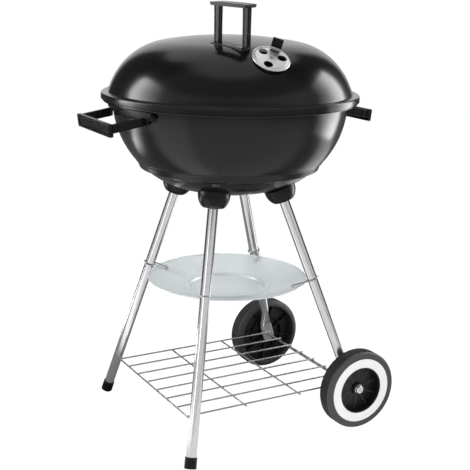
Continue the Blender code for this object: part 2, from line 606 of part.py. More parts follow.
def flattened_leg(name, top, up):
    """A tube squeezed flat at its foot, where the axle goes through it."""
    rear = 1 if top.y > 0 else -1
    along = Vector((up.x, 0, up.z)).normalized()
    wide = Vector((0, 1, 0)).cross(along)
    sides = 16

    def ring(bm, centre, half_w, half_t, square, flat):
        across = up.cross(wide).lerp(Vector((0, 1, 0)), flat).normalized()
        verts = []
        for k in range(sides):
            c, s = math.cos(2 * math.pi * k / sides), math.sin(2 * math.pi * k / sides)
            x = math.copysign(abs(c) ** square, c) * half_w
            y = math.copysign(abs(s) ** square, s) * half_t
            verts.append(bm.verts.new(centre + wide * x + across * y))
        return verts

    def on_leg(height):
        return top - up * ((top.z - height) / up.z)

    def flat_centre(height, y):
        drop = (height - AXLE.z) / along.z
        return Vector((AXLE.x + along.x * drop, rear * y, height))

    flat_w, flat_t = FLAT_W / 2, FLAT_T / 2
    bm = bmesh.new()
    stations = [(top, TUBE_R, TUBE_R, 1.0, 0.0),
                (on_leg(0.1300), TUBE_R, TUBE_R, 1.0, 0.0),
                (flat_centre(0.1160, 0.1362), 0.0100, 0.0066, 0.95, 0.3),
                (flat_centre(0.1020, 0.1412), 0.0116, 0.0038, 0.8, 0.7),
                (flat_centre(0.0915, FLAT_Y), flat_w, flat_t, 0.6, 1.0),
                (flat_centre(AXLE.z - 0.0095, FLAT_Y), flat_w, flat_t, 0.6, 1.0),
                (flat_centre(AXLE.z - 0.0125, FLAT_Y), flat_w * 0.72, flat_t, 0.6, 1.0)]
    rings = [ring(bm, *station) for station in stations]
    for upper, lower in zip(rings, rings[1:]):
        for k in range(sides):
            n = (k + 1) % sides
            bm.faces.new((upper[k], upper[n], lower[n], lower[k]))
    bm.faces.new(rings[0])
    bm.faces.new(rings[-1])
    bmesh.ops.recalc_face_normals(bm, faces=bm.faces[:])
    leg = from_bmesh(name, bm, CHROME)
    boolean(leg, rod(f"{name}_bore", on_leg(0.1420), top + up * 0.005, TUBE_R - TUBE_WALL, sides=16))
    boolean(leg, rod(f"{name}_axle_hole", (AXLE.x, rear * 0.13, AXLE.z), (AXLE.x, rear * 0.16, AXLE.z),
                     AXLE_R + GAP))


# ---- ash pan and its clips ----------------------------------------------------------------
def pan_height(radius):
    """Underside of the pan's sloping part."""
    return PAN_Z - (PAN_R - radius) * 0.288


def clip_frame(index):
    """Ring centre on the leg, with axes: inwards, clockwise seen from above, and up the leg."""
    point, up = leg_line(index)
    centre = point - up * ((point.z - CLIP_Z) / up.z)
    outward = Vector((centre.x, centre.y, 0)).normalized()
    inwards = (-outward + up * outward.dot(up)).normalized()
    return centre, inwards, up.cross(inwards)


def eye_spot(index):
    """Plan angle of the pan's hole for one clip."""
    centre, _, _ = clip_frame(index)
    return math.atan2(centre.y, centre.x) + EYE_TURN


def make_pan():
    profile = [(PAN_R, PAN_Z + 0.0006), (PAN_R - 0.0012, PAN_Z - 0.0006), (0.1090, pan_height(0.1090)),
               (0.0775, pan_height(0.0775) + 0.0004), (0.0745, 0.2418), (0.0715, 0.2428), (0.0685, 0.2418),
               (0.0655, 0.2394), (0, 0.2386)]
    pan = turned("ash_pan", profile, PAN, steps=28, sheet=0.0010)
    for index, (name, _, _) in enumerate(LEGS):
        angle = eye_spot(index)
        boolean(pan, rod(f"pan_eye_{name}", polar(EYE_R, angle, 0.240), polar(EYE_R, angle, 0.270),
                         CLIP_WIRE + 0.0012, sides=12))


def make_clips():
    """Each clip rings its leg and hooks down through a hole in the pan."""
    ring_r = TUBE_R + CLIP_WIRE + 2 * GAP
    for index, (name, _, _) in enumerate(LEGS):
        centre, inwards, sideways = clip_frame(index)
        angle = eye_spot(index)
        turns = [math.radians(395 - 30.5 * k) for k in range(11)]
        path = [centre + inwards * (ring_r * math.cos(a)) + sideways * (ring_r * math.sin(a)) for a in turns]
        top = pan_height(EYE_R) + 0.0010
        path += [polar(EYE_R + 0.0050, angle, top + 0.0044), polar(EYE_R + 0.0016, angle, top + 0.0038),
                 polar(EYE_R, angle, top + 0.0020), polar(EYE_R, angle, top - 0.0050)]
        curve = bpy.data.curves.new(f"ash_pan_clip_{name}", "CURVE")
        curve.dimensions = "3D"
        curve.bevel_depth = CLIP_WIRE
        curve.bevel_resolution = 1
        curve.use_fill_caps = True
        spline = curve.splines.new("POLY")
        spline.points.add(len(path) - 1)
        for vertex, place in zip(spline.points, path):
            vertex.co = (*place, 1.0)
        add_object(f"ash_pan_clip_{name}", curve, STEEL)


# ---- wire shelf, axle, wheels -------------------------------------------------------------
def make_shelf():
    """Eight long wires over three cross wires; the end one pegs into the two capped legs."""
    low = SHELF_Z - 2 * SHELF_WIRE + 0.0002
    end = rod("bottom_rack", (SHELF_X0, -0.1560, low), (SHELF_X0, 0.1560, low), SHELF_WIRE, GRATE, sides=8)
    runs = []
    for k in range(SHELF_RUNS):
        y = -SHELF_Y + 2 * SHELF_Y * k / (SHELF_RUNS - 1)
        runs.append(rod(f"rack_long_{k + 1}", (SHELF_X0 - 0.0012, y, SHELF_Z), (SHELF_X1, y, SHELF_Z),
                        SHELF_WIRE, sides=8))
    third = (AXLE.x - SHELF_X0) / 3
    for k in (1, 2):
        x = SHELF_X0 + third * k
        runs.append(rod(f"rack_cross_{k}", (x, -SHELF_Y - 0.004, low), (x, SHELF_Y + 0.004, low), SHELF_WIRE,
                        sides=8))
    join_all(end, runs, "rack_wires")


def make_wheels():
    half = WHEEL_Y + WHEEL_W / 2
    rod("axle", (AXLE.x, -half + 0.0040, AXLE.z), (AXLE.x, half - 0.0040, AXLE.z), AXLE_R, STEEL)
    bore = AXLE_R + GAP
    ring_in, ring_out, ring_t = 0.0425, 0.0586, 0.0022
    tread = WHEEL_R
    # (radius, distance in from the wheel's outer face), round the section
    section = [(bore, 0.0075), (0.0110, 0.0075), (0.0115, 0.0140), (0.0398, 0.0130), (0.0410, 0.0),
               (ring_in - GAP, 0.0), (ring_in - GAP, ring_t + GAP), (ring_out + GAP, ring_t + GAP),
               (ring_out + GAP, 0.0), (0.0697, 0.0004), (tread, 0.0030), (tread, WHEEL_W - 0.0090),
               (0.0665, WHEEL_W - 0.0022), (0.0610, WHEEL_W), (0.0580, 0.0180),
               (0.0130, 0.0175), (0.0120, WHEEL_W - 0.0046), (bore, WHEEL_W - 0.0046)]
    for label, side in (("front", -1), ("rear", 1)):
        hub = Vector((AXLE.x, side * half, AXLE.z))
        frame = axis_frame(hub, (0, side, 0))
        wheel = turned(f"wheel_{label}", [(r, -d) for r, d in section], TYRE, steps=32, closed=True)
        wheel.matrix_world = frame
        ring = turned(f"wheel_ring_{label}", [(ring_out, 0), (ring_out, -ring_t), (ring_in, -ring_t), (ring_in, 0)],
                      WHITE, steps=32, closed=True)
        ring.matrix_world = frame
        cap = [(0, -0.0008), (0.0035, -0.0010), (0.0066, -0.0024), (0.0082, -0.0050), (0.0082, -0.0072),
               (bore, -0.0072), (bore, -0.0034), (0, -0.0034)]
        nut = turned(f"hub_cap_{label}", cap, CHROME, steps=16)
        nut.matrix_world = frame


make_lid()
make_lid_handle()
make_lid_screws()
make_vent()
make_bowl()
make_bowl_damper()
make_grates()
make_side_handles()
make_legs()
make_pan()
make_clips()
make_shelf()
make_wheels()
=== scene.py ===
"""Looks of the kettle grill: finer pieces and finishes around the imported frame. Metres, +Z up."""
import json
import math

import bmesh
import bpy
from mathutils import Matrix, Vector

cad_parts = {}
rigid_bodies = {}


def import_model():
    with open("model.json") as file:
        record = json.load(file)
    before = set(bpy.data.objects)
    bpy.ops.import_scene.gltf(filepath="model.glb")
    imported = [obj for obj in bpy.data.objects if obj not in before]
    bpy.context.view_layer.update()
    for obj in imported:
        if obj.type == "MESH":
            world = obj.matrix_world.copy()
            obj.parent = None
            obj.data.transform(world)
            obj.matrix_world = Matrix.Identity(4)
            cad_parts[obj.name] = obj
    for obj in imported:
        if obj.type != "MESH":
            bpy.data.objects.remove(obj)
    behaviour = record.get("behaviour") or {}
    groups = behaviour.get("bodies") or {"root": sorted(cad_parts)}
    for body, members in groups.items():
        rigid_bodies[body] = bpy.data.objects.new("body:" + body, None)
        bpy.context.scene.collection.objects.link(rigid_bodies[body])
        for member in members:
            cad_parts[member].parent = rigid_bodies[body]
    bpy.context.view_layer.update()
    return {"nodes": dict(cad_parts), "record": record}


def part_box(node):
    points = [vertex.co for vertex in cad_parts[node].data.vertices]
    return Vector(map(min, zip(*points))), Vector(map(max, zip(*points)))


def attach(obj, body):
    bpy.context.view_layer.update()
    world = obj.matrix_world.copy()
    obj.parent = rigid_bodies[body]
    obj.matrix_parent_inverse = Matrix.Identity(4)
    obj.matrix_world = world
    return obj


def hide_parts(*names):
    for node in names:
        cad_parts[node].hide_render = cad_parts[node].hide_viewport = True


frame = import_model()

# ---- sizes shared with the CAD ------------------------------------------------------------
GAP = 0.0003
SHEET = 0.0012
RIM_R, RIM_Z, SKIRT_H = 0.2200, 0.5890, 0.0105
LIP_R, LIP_BOTTOM = 0.2165, 0.5740
CROWN_R, CROWN_ANGLE = 0.6657, math.radians(10.0)
SHOULDER_R, SHOULDER_ANGLE = 0.1162, math.radians(70.4)
LID_TOP = 0.6838
WALL_R, WALL_ARC, WALL_ARC_Z = 0.2004, 0.1531, 0.5748
GROOVE_R, DISH_TOP_R, DISH_ARC = 0.1616, 0.1460, 0.1378
BOWL_BOTTOM, FLOOR_ARC, FLOOR_ANGLE = 0.4147, 0.3249, math.radians(16.75)
TUBE_R, TUBE_WALL = 0.00875, 0.0012
AXLE_R = 0.0030
SOCKET_R, SOCKET_H = 0.0275, 0.0234
LEG_EXIT = Vector((0.0700, 0.0737, 0.4040))
FOOT = Vector((0.1622, 0.1805, 0.0))
FLAT_Y, FLAT_T, FLAT_W = 0.1455, 0.0038, 0.0250
PAN_R, PAN_Z = 0.1415, 0.2588
CLIP_Z, CLIP_WIRE = 0.2672, 0.0010
EYE_R, EYE_TURN = 0.1220, math.radians(-7.5)
SHELF_WIRE, SHELF_Y, SHELF_RUNS = 0.0015, 0.1412, 8
SIDE_Z, SIDE_REACH, SIDE_LEN = 0.5445, 0.2522, 0.1370
SIDE_BOLT_ANGLE, SIDE_BOLT_Z = math.radians(24.4), 0.5650
KNOB = Vector((-0.0553, -0.0974, 0.6741))
KNOB_TURN, KNOB_TILT = math.radians(-72.2), math.radians(3.0)
KNOB_LEN, KNOB_W, POST_X, POST_Y = 0.0710, 0.0200, 0.0308, 0.0034
GRIP_LOW, GRIP_TOP, GRIP_Y = 0.0602, 0.0662, 0.0039
VENT_RADIUS, VENT_TURN = 0.1595, math.radians(-96.3)
VENT_DISC_R, VENT_HOLE_R, VENT_HOLE_PITCH = 0.0310, 0.0074, 0.0180
VENT_LIFT, VENT_TAB_ANGLE = 0.0022, math.radians(55.0)
SCREW_R, SCREW_HOLE_R = 0.0020, 0.0024

low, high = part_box("wheel_front")
WHEEL_R = (high.z - low.z) / 2
WHEEL_W = high.y - low.y
AXLE = Vector(((low.x + high.x) / 2, 0.0, (low.z + high.z) / 2))
WHEEL_FACE = -low.y
WHEEL_LEG_END = Vector((AXLE.x, 0.1435, AXLE.z))
SHELF_Z = AXLE.z + AXLE_R + GAP + SHELF_WIRE
SHELF_LOW_Z = SHELF_Z - 2 * SHELF_WIRE + 0.0002    # cross wires, pressed a little into the long ones
SHELF_X0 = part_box("bottom_rack")[0].x + SHELF_WIRE
SHELF_X1 = AXLE.x + 0.0035
LEGS = (("front_left", -1, -1), ("rear_left", -1, 1), ("front_right", 1, -1), ("rear_right", 1, 1))


# ---- materials ----------------------------------------------------------------------------
def feed(tree, socket, value):
    """Set a socket to a value, or link another node's output to it."""
    if isinstance(value, bpy.types.NodeSocket):
        tree.links.new(value, socket)
    else:
        socket.default_value = value


def add_node(tree, kind, *values, **named):
    """A node with its inputs fed in order, or by name with _ for a space."""
    node = tree.nodes.new(kind)
    for socket, value in zip(node.inputs, values):
        feed(tree, socket, value)
    for name, value in named.items():
        feed(tree, node.inputs[name.replace("_", " ")], value)
    return node


class Shader:
    """A Principled material with procedural details on it. A pattern is what noise() takes."""

    def __init__(self, name, colour, roughness, metallic=0.0, **sockets):
        self.mat = bpy.data.materials.new(name)
        self.mat.use_nodes = True
        self.tree = self.mat.node_tree
        self.bsdf = self.tree.nodes["Principled BSDF"]
        self.colour = colour
        self.set(Base_Color=(*colour, 1.0), Roughness=roughness, Metallic=metallic, **sockets)
        self.coords = self.tree.nodes.new("ShaderNodeTexCoord").outputs["Object"]
        self.normal = None

    def set(self, **sockets):
        for name, value in sockets.items():
            feed(self.tree, self.bsdf.inputs[name.replace("_", " ")], value)

    def noise(self, scale, detail=3.0, stretch=(1, 1, 1)):
        place = add_node(self.tree, "ShaderNodeMapping", Vector=self.coords, Scale=stretch)
        return add_node(self.tree, "ShaderNodeTexNoise", Vector=place.outputs["Vector"], Scale=scale,
                        Detail=detail).outputs["Fac"]

    def tint(self, pattern, low_gain, high_gain, start=0.3, end=0.7):
        """Vary the colour between two gains."""
        node = add_node(self.tree, "ShaderNodeValToRGB", self.noise(*pattern))
        for element, at, gain in zip(node.color_ramp.elements, (start, end), (low_gain, high_gain)):
            element.position = at
            element.color = (*(min(1.0, c * gain) for c in self.colour), 1.0)
        self.set(Base_Color=node.outputs["Color"])

    def gloss(self, pattern, low_value, high_value):
        """Vary the roughness between two values."""
        self.set(Roughness=add_node(self.tree, "ShaderNodeMapRange", self.noise(*pattern), 0.3, 0.7,
                                    low_value, high_value).outputs["Result"])

    def bump(self, height, depth, strength):
        node = add_node(self.tree, "ShaderNodeBump", Height=height, Distance=depth, Strength=strength)
        if self.normal is not None:
            self.tree.links.new(self.normal, node.inputs["Normal"])
        self.normal = node.outputs["Normal"]
        self.set(Normal=self.normal)

    def pits(self, scale, depth, strength):
        cells = add_node(self.tree, "ShaderNodeTexVoronoi", Vector=self.coords, Scale=scale)
        self.bump(cells.outputs["Distance"], depth, strength)


def finish(name, colour, roughness, tint, gloss, grain, metallic=0.0, pits=None, **sockets):
    """tint, gloss and grain are a pattern and two values each: a range, or a depth and a strength."""
    shader = Shader(name, colour, roughness, metallic, **sockets)
    shader.tint(*tint)
    shader.gloss(*gloss)
    if pits:
        shader.pits(*pits)
    pattern, depth, strength = grain
    shader.bump(shader.noise(*pattern), depth, strength)
    return shader.mat


MATS = {
    "enamel": finish("gloss_enamel", (0.0040, 0.0040, 0.0043), 0.17, ((700, 2), 0.7, 1.5),
                     ((9, 4), 0.15, 0.22), ((260, 2), 0.00006, 0.25), IOR=1.42),
    "black_plastic": finish("black_moulding", (0.0028, 0.0028, 0.0030), 0.30, ((1400, 2), 0.7, 1.5),
                            ((60,), 0.22, 0.34), ((1800, 2), 0.00004, 0.35), IOR=1.33),
    "vent_metal": finish("pitted_aluminium", (0.88, 0.88, 0.88), 0.38, ((800, 4), 0.84, 1.08, 0.35, 0.62),
                         ((300,), 0.26, 0.5), ((700,), 0.0001, 0.4), 1.0, pits=(900, 0.00012, 0.35)),
    "zinc_steel": finish("zinc_plate", (0.50, 0.50, 0.52), 0.30, ((250, 4), 0.8, 1.2),
                         ((120,), 0.22, 0.42), ((1500, 2), 0.00003, 0.4), 1.0),
    "chrome": finish("chrome_tube", (0.84, 0.84, 0.85), 0.17, ((90, 3, (5, 5, 0.4)), 0.94, 1.05),
                     ((40, 4, (6, 6, 0.5)), 0.13, 0.22), ((900, 2, (1, 1, 0.08)), 0.00001, 0.3), 1.0),
    "plated_wire": finish("plated_wire", (0.47, 0.47, 0.475), 0.30, ((160, 4), 0.8, 1.2),
                          ((200, 2), 0.22, 0.4), ((1800, 2), 0.00002, 0.4), 1.0),
    "pan_sheet": finish("pale_sheet", (0.745, 0.795, 0.815), 0.40, ((14, 4), 0.93, 1.06),
                        ((30, 4), 0.36, 0.5), ((500,), 0.00005, 0.3), 0.15),
    "wheel_plastic": finish("grey_wheel", (0.027, 0.027, 0.027), 0.55, ((900, 2), 0.85, 1.2),
                            ((80,), 0.48, 0.64), ((2200, 2), 0.00008, 0.5), IOR=1.45),
    "sidewall": finish("grey_sidewall", (0.060, 0.060, 0.060), 0.5, ((900, 2), 0.88, 1.15),
                       ((80,), 0.44, 0.58), ((2200, 2), 0.00006, 0.4), IOR=1.46),
    "hub": finish("black_hub", (0.0065, 0.0065, 0.0065), 0.38, ((900, 2), 0.8, 1.3),
                  ((90,), 0.30, 0.46), ((1600, 2), 0.00006, 0.4), IOR=1.46),
    "white_plastic": finish("white_trim", (0.94, 0.94, 0.94), 0.38, ((60,), 0.98, 1.02),
                            ((140,), 0.32, 0.44), ((900, 2), 0.00003, 0.3))}
SLOT_OF = {entry["node"]: entry["material_slot"] for entry in frame["record"]["subparts"]}
BODY_OF = {n: body for body, members in frame["record"]["behaviour"]["bodies"].items() for n in members}
for node_name, slot in SLOT_OF.items():
    data = frame["nodes"][node_name].data
    data.materials.clear()
    data.materials.append(MATS[slot])


# ---- places -------------------------------------------------------------------------------
def axis_frame(origin, axis):
    """A frame at origin whose Z is axis and whose X lies level."""
    z = Vector(axis).normalized()
    x = Vector((0, 0, 1)).cross(z).normalized()
    out = Matrix((x, z.cross(x), z)).transposed().to_4x4()
    out.translation = origin
    return out


def shift(x, y, z):
    return Matrix.Translation((x, y, z))


def polar(radius, angle, height=0.0):
    return Vector((radius * math.cos(angle), radius * math.sin(angle), height))


def dome_height(radius):
    """Height and slope angle of the dome's outside at a plan radius."""
    if radius < CROWN_R * math.sin(CROWN_ANGLE):
        slope = math.asin(radius / CROWN_R)
        return LID_TOP - CROWN_R + CROWN_R * math.cos(slope), slope
    run = CROWN_R - SHOULDER_R
    slope = math.asin((radius - run * math.sin(CROWN_ANGLE)) / SHOULDER_R)
    centre_z = LID_TOP - CROWN_R + run * math.cos(CROWN_ANGLE)
    return centre_z + SHOULDER_R * math.cos(slope), slope


def vent_frame(lift=0.0):
    """Frame of the vent: Z out of the dome, X along it, Y uphill."""
    height, slope = dome_height(VENT_RADIUS)
    out = polar(1.0, VENT_TURN)
    normal = (out * math.sin(slope) + Vector((0, 0, math.cos(slope)))).normalized()
    along = Vector((0, 0, 1)).cross(out)
    at = Matrix((along, normal.cross(along), normal)).transposed().to_4x4()
    at.translation = polar(VENT_RADIUS, VENT_TURN, height) + normal * lift
    return at


def knob_frame():
    level = Vector((0, 0, 1)).cross(Vector((KNOB.x, KNOB.y, 0))).normalized()
    tip = Matrix.Rotation(KNOB_TILT, 4, level)
    return Matrix.Translation(KNOB) @ tip @ Matrix.Rotation(KNOB_TURN, 4, "Z")


# ---- mesh helpers -------------------------------------------------------------------------
def lathe(bm, profile, steps=96, closed=False, matrix=Matrix.Identity(4)):
    """Turn (radius, height) points about Z. A point on the axis is a pole."""
    turns = [math.tau * k / steps for k in range(steps)]
    rings = []
    for r, z in profile:
        spots = [(0, 0, z)] if r < 1e-6 else [(r * math.cos(t), r * math.sin(t), z) for t in turns]
        rings.append([bm.verts.new(matrix @ Vector(p)) for p in spots])
    pairs = list(zip(rings, rings[1:])) + ([(rings[-1], rings[0])] if closed else [])
    for a, b in pairs:
        for k in range(0 if len(a) == len(b) == 1 else steps):
            n = (k + 1) % steps
            if len(a) == 1:
                bm.faces.new((a[0], b[n], b[k]))
            elif len(b) == 1:
                bm.faces.new((a[k], a[n], b[0]))
            else:
                bm.faces.new((a[k], a[n], b[n], b[k]))


def turned(*args, **options):
    """A new mesh with one turned form in it."""
    bm = bmesh.new()
    lathe(bm, *args, **options)
    return bm


def arc(centre, radius, start, end, count):
    """Points on an arc in the (radius, height) plane; angles run from straight up."""
    turns = [start + (end - start) * i / (count - 1) for i in range(count)]
    return [(centre[0] + radius * math.sin(a), centre[1] + radius * math.cos(a)) for a in turns]


def circle(centre, radius, count=12):
    return arc(centre, radius, 0, math.tau * (count - 1) / count, count)


def rectangle(x0, y0, x1, y1):
    return [(x0, y0), (x1, y0), (x1, y1), (x0, y1)]


def soften(points, radius, closed=True, n=4):
    """Round the corners of a 2D outline."""
    out, count = [], len(points)
    for i, p in enumerate(points):
        if not closed and i in (0, count - 1):
            out.append(tuple(p))
            continue
        a, b, c = Vector(points[i - 1]), Vector(p), Vector(points[(i + 1) % count])
        u, v = a - b, c - b
        d = min(radius, 0.45 * u.length, 0.45 * v.length)
        p0, p1 = b + u.normalized() * d, b + v.normalized() * d
        for k in range(n + 1):
            t = k / n
            out.append(tuple(p0 * (1 - t) ** 2 + b * 2 * t * (1 - t) + p1 * t * t))
    return out


def shell(outer, thickness):
    """Close an outer line that runs from the top outwards and down into a sheet's section."""
    inner = []
    for i, p in enumerate(outer):
        a, b = Vector(outer[max(i - 1, 0)]), Vector(outer[min(i + 1, len(outer) - 1)])
        d = (b - a).normalized()
        q = Vector(p) - Vector((-d.y, d.x)) * thickness
        inner.append((0.0 if p[0] < 1e-6 else q.x, q.y))
    return outer + inner[::-1]


def smooth_path(points, per=6):
    """Catmull-Rom through the points."""
    pts = [Vector(p) for p in points]
    ext = [2 * pts[0] - pts[1]] + pts + [2 * pts[-1] - pts[-2]]
    out = []
    for i in range(1, len(ext) - 2):
        a, b, c, d = ext[i - 1:i + 3]
        for k in range(per):
            t = k / per
            out.append(0.5 * (2 * b + (c - a) * t + (2 * a - 5 * b + 4 * c - d) * t * t
                              + (3 * b - a - 3 * c + d) * t ** 3))
    return out + [pts[-1]]


def loft(bm, rings):
    """Skin rings of points of equal length and cap both ends."""
    made = [[bm.verts.new(p) for p in ring] for ring in rings]
    for a, b in zip(made, made[1:]):
        for k in range(len(a)):
            n = (k + 1) % len(a)
            bm.faces.new((a[k], a[n], b[n], b[k]))
    bm.faces.new(made[0][::-1])
    bm.faces.new(made[-1])


def tube(bm, path, radius, sides=16, rounded=True):
    """A round bar along a path, with rounded or flat ends."""
    path = [Vector(p) for p in path]
    stations = [(p, radius) for p in path]
    if rounded:
        first, last = (path[1] - path[0]).normalized(), (path[-1] - path[-2]).normalized()
        caps = [(0.0, 0.45), (0.24, 0.8), (0.496, 0.97), (0.8, 1.0)]
        stations = ([(path[0] + first * radius * h, radius * w) for h, w in caps] + stations[1:-1]
                    + [(path[-1] - last * radius * h, radius * w) for h, w in caps[::-1]])
    points = [s[0] for s in stations]
    turns = [math.tau * k / sides for k in range(sides)]
    normal = None
    rings = []
    for i, (p, r) in enumerate(stations):
        tangent = (points[min(i + 1, len(points) - 1)] - points[max(i - 1, 0)]).normalized()
        if normal is None:
            normal = tangent.orthogonal()
        normal = (normal - tangent * normal.dot(tangent)).normalized()
        side = tangent.cross(normal)
        rings.append([p + (normal * math.cos(t) + side * math.sin(t)) * r for t in turns])
    loft(bm, rings)


def box(bm, size, matrix=Matrix.Identity(4), bevel=0.0, segments=3):
    """A box with rounded edges."""
    made = bmesh.ops.create_cube(bm, size=1.0, matrix=matrix @ Matrix.Diagonal((*size, 1.0)))
    if bevel:
        edges = list({e for v in made["verts"] for e in v.link_edges})
        bmesh.ops.bevel(bm, geom=edges, offset=bevel, segments=segments, profile=0.5, affect="EDGES")


def block(*args):
    """A new mesh with one box in it."""
    bm = bmesh.new()
    box(bm, *args)
    return bm


def prism(bm, outline, depth, matrix=Matrix.Identity(4)):
    """Extrude an outline in local XZ evenly to both sides along Y."""
    loft(bm, [[matrix @ Vector((x, s * depth / 2, z)) for x, z in outline] for s in (-1, 1)])


def raw(name, bm):
    """A bare object, for cutting."""
    bmesh.ops.recalc_face_normals(bm, faces=bm.faces[:])
    mesh = bpy.data.meshes.new(name)
    bm.to_mesh(mesh)
    bm.free()
    obj = bpy.data.objects.new(name, mesh)
    bpy.context.scene.collection.objects.link(obj)
    return obj


def carve(obj, tools, operation="DIFFERENCE"):
    """Cut or join bare objects, and keep only the result."""
    for tool in tools:
        mod = obj.modifiers.new("Cut", "BOOLEAN")
        mod.operation, mod.solver, mod.object = operation, "EXACT", tool
    graph = bpy.context.evaluated_depsgraph_get()
    mesh = bpy.data.meshes.new_from_object(obj.evaluated_get(graph))
    obj.modifiers.clear()
    obj.data = mesh
    for tool in tools:
        bpy.data.objects.remove(tool, do_unlink=True)
    return obj


def rod_tool(a, b, radius=SCREW_HOLE_R, sides=24):
    bm = bmesh.new()
    tube(bm, (a, b), radius, sides, rounded=False)
    return raw("tool", bm)


def bore_tool(at, reach, radius=SCREW_HOLE_R, sides=24):
    """A rod along a frame's Z, reaching equally to both sides."""
    return rod_tool(at @ Vector((0, 0, -reach)), at @ Vector((0, 0, reach)), radius, sides)


def piece(name, source, cad, mat=None, sharp=38, crisp=False):
    """Finish a piece that stands for a list of CAD nodes, or rides with the one that is named."""
    obj = source if isinstance(source, bpy.types.Object) else raw(name, source)
    obj.name = obj.data.name = name
    stands_for = isinstance(cad, list)
    node = cad[0] if stands_for else cad
    obj.data.materials.clear()
    obj.data.materials.append(mat or MATS[SLOT_OF[node]])
    obj.data.shade_smooth()
    obj.data.set_sharp_from_angle(angle=math.radians(sharp))
    if crisp:
        mod = obj.modifiers.new("Normals", "WEIGHTED_NORMAL")
        mod.keep_sharp = True
    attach(obj, BODY_OF[node])
    if stands_for:
        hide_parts(*cad)
    return obj


# ---- lid ----------------------------------------------------------------------------------
def dome_line(offset=0.0, crown_n=16, shoulder_n=40):
    crown_c = (0.0, LID_TOP - CROWN_R)
    run = CROWN_R - SHOULDER_R
    shoulder_c = (run * math.sin(CROWN_ANGLE), crown_c[1] + run * math.cos(CROWN_ANGLE))
    return (arc(crown_c, CROWN_R + offset, 0.0, CROWN_ANGLE, crown_n)
            + arc(shoulder_c, SHOULDER_R + offset, CROWN_ANGLE, SHOULDER_ANGLE, shoulder_n)[1:])


def three_holes(radius, depth, at):
    spots = [polar(VENT_HOLE_PITCH, math.radians(-4.5 + 120 * i)) for i in range(3)]
    return [bore_tool(at @ Matrix.Translation(spot), depth, radius, 40) for spot in spots]


def make_lid():
    flange = soften([(0.2050, 0.5981), (0.2086, RIM_Z - 0.0004), (0.2125, RIM_Z + 0.0001),
                     (RIM_R, RIM_Z - 0.0006), (RIM_R, RIM_Z - SKIRT_H)], 0.0030, closed=False, n=6)
    lid = raw("lid_dome", turned(shell(dome_line()[:-1] + flange, SHEET), 144))
    vent = vent_frame()
    tools = three_holes(VENT_HOLE_R - 0.0006, 0.012, vent) + [bore_tool(vent, 0.01)]
    for side in (-1, 1):
        ends = [knob_frame() @ Vector((side * POST_X, POST_Y, z)) for z in (-0.030, 0.020)]
        tools.append(rod_tool(*ends))
    carve(lid, tools)
    piece("lid_dome", lid, ["lid_shell"], sharp=50)
    hem = circle((RIM_R - 0.0014, RIM_Z - SKIRT_H + 0.0009), 0.0011)
    piece("lid_hem", turned(hem, 144, closed=True), "lid_shell")


def post_section(half_a, half_b):
    """Section of a fluted post: one groove on each narrow face, two on each wide face."""
    out = []
    for sign in (1, -1):
        out.append((sign * half_a, sign * half_b))
        for u, d in ((0.62, 0), (0.45, 0.0009), (-0.45, 0.0009), (-0.62, 0)):
            out.append((sign * half_a * u, sign * (half_b - d)))
        out.append((-sign * half_a, sign * half_b))
        for t, d in ((0.14, 0), (0.22, 0.0010), (0.40, 0.0010), (0.47, 0),
                     (0.53, 0), (0.60, 0.0010), (0.78, 0.0010), (0.86, 0)):
            out.append((-sign * (half_a - d), sign * half_b * (1 - 2 * t)))
    return out


def make_lid_handle():
    at = knob_frame()
    base = soften(rectangle(-KNOB_LEN / 2, -KNOB_W / 2, KNOB_LEN / 2, KNOB_W / 2), 0.0030, n=5)

    def foot(levels):
        bm = bmesh.new()
        loft(bm, [[at @ Vector((x * s, y * (1 - (1 - s) * 3), z)) for x, y in base] for z, s in levels])
        return raw("lid_handle_body", bm)

    def dome(offset):
        return raw("tool", turned(dome_line(offset) + [(0.19, 0.60), (0, 0.60)]))

    # a flat seat at its outer end; the inner end follows the dome
    handle = foot(((-0.030, 1.0), (-0.0010, 1.0), (-0.0003, 0.992), (0.0, 0.982)))
    skin = carve(foot(((-0.030, 1.0), (0.020, 1.0))), [dome(0.0011)], "INTERSECT")
    posts = bmesh.new()
    levels = [(-0.020, 1.0), (0.016, 1.0), (0.045, 1.02), (GRIP_LOW + 0.002, 1.07)]    # wider at the top
    for side in (-1, 1):
        loft(posts, [[at @ Vector((side * POST_X + x * s, POST_Y + y * s, z))
                      for x, y in post_section(0.0046, 0.0048)] for z, s in levels])
    carve(handle, [skin, raw("tool", posts)], "UNION")
    carve(handle, [dome(GAP)])
    piece("lid_handle_body", handle, ["lid_handle"], sharp=30)

    half_low, half_high, half_w = 0.0367, 0.0394, 0.0127
    edge_z = GRIP_TOP - 0.0009
    turns = [math.pi * k / 16 for k in range(1, 16)]
    crown = [(half_high * math.cos(t), edge_z + (GRIP_TOP - edge_z) * math.sin(t)) for t in turns]
    outline = [(-half_low, GRIP_LOW), (half_low, GRIP_LOW), (half_high, edge_z - 0.0004), *crown,
               (-half_high, edge_z - 0.0004)]
    bm = bmesh.new()
    prism(bm, soften(outline, 0.0006, n=3), half_w * 2)
    rim = [e for e in bm.edges if abs(abs(e.verts[0].co.y) - half_w) < 1e-6
           and abs(e.verts[0].co.y - e.verts[1].co.y) < 1e-6]
    bmesh.ops.bevel(bm, geom=rim, offset=0.0011, segments=3, profile=0.5, affect="EDGES")
    bmesh.ops.transform(bm, matrix=at @ shift(0, GRIP_Y, 0), verts=bm.verts[:])
    piece("lid_handle_grip", bm, "lid_handle", sharp=45, crisp=True)


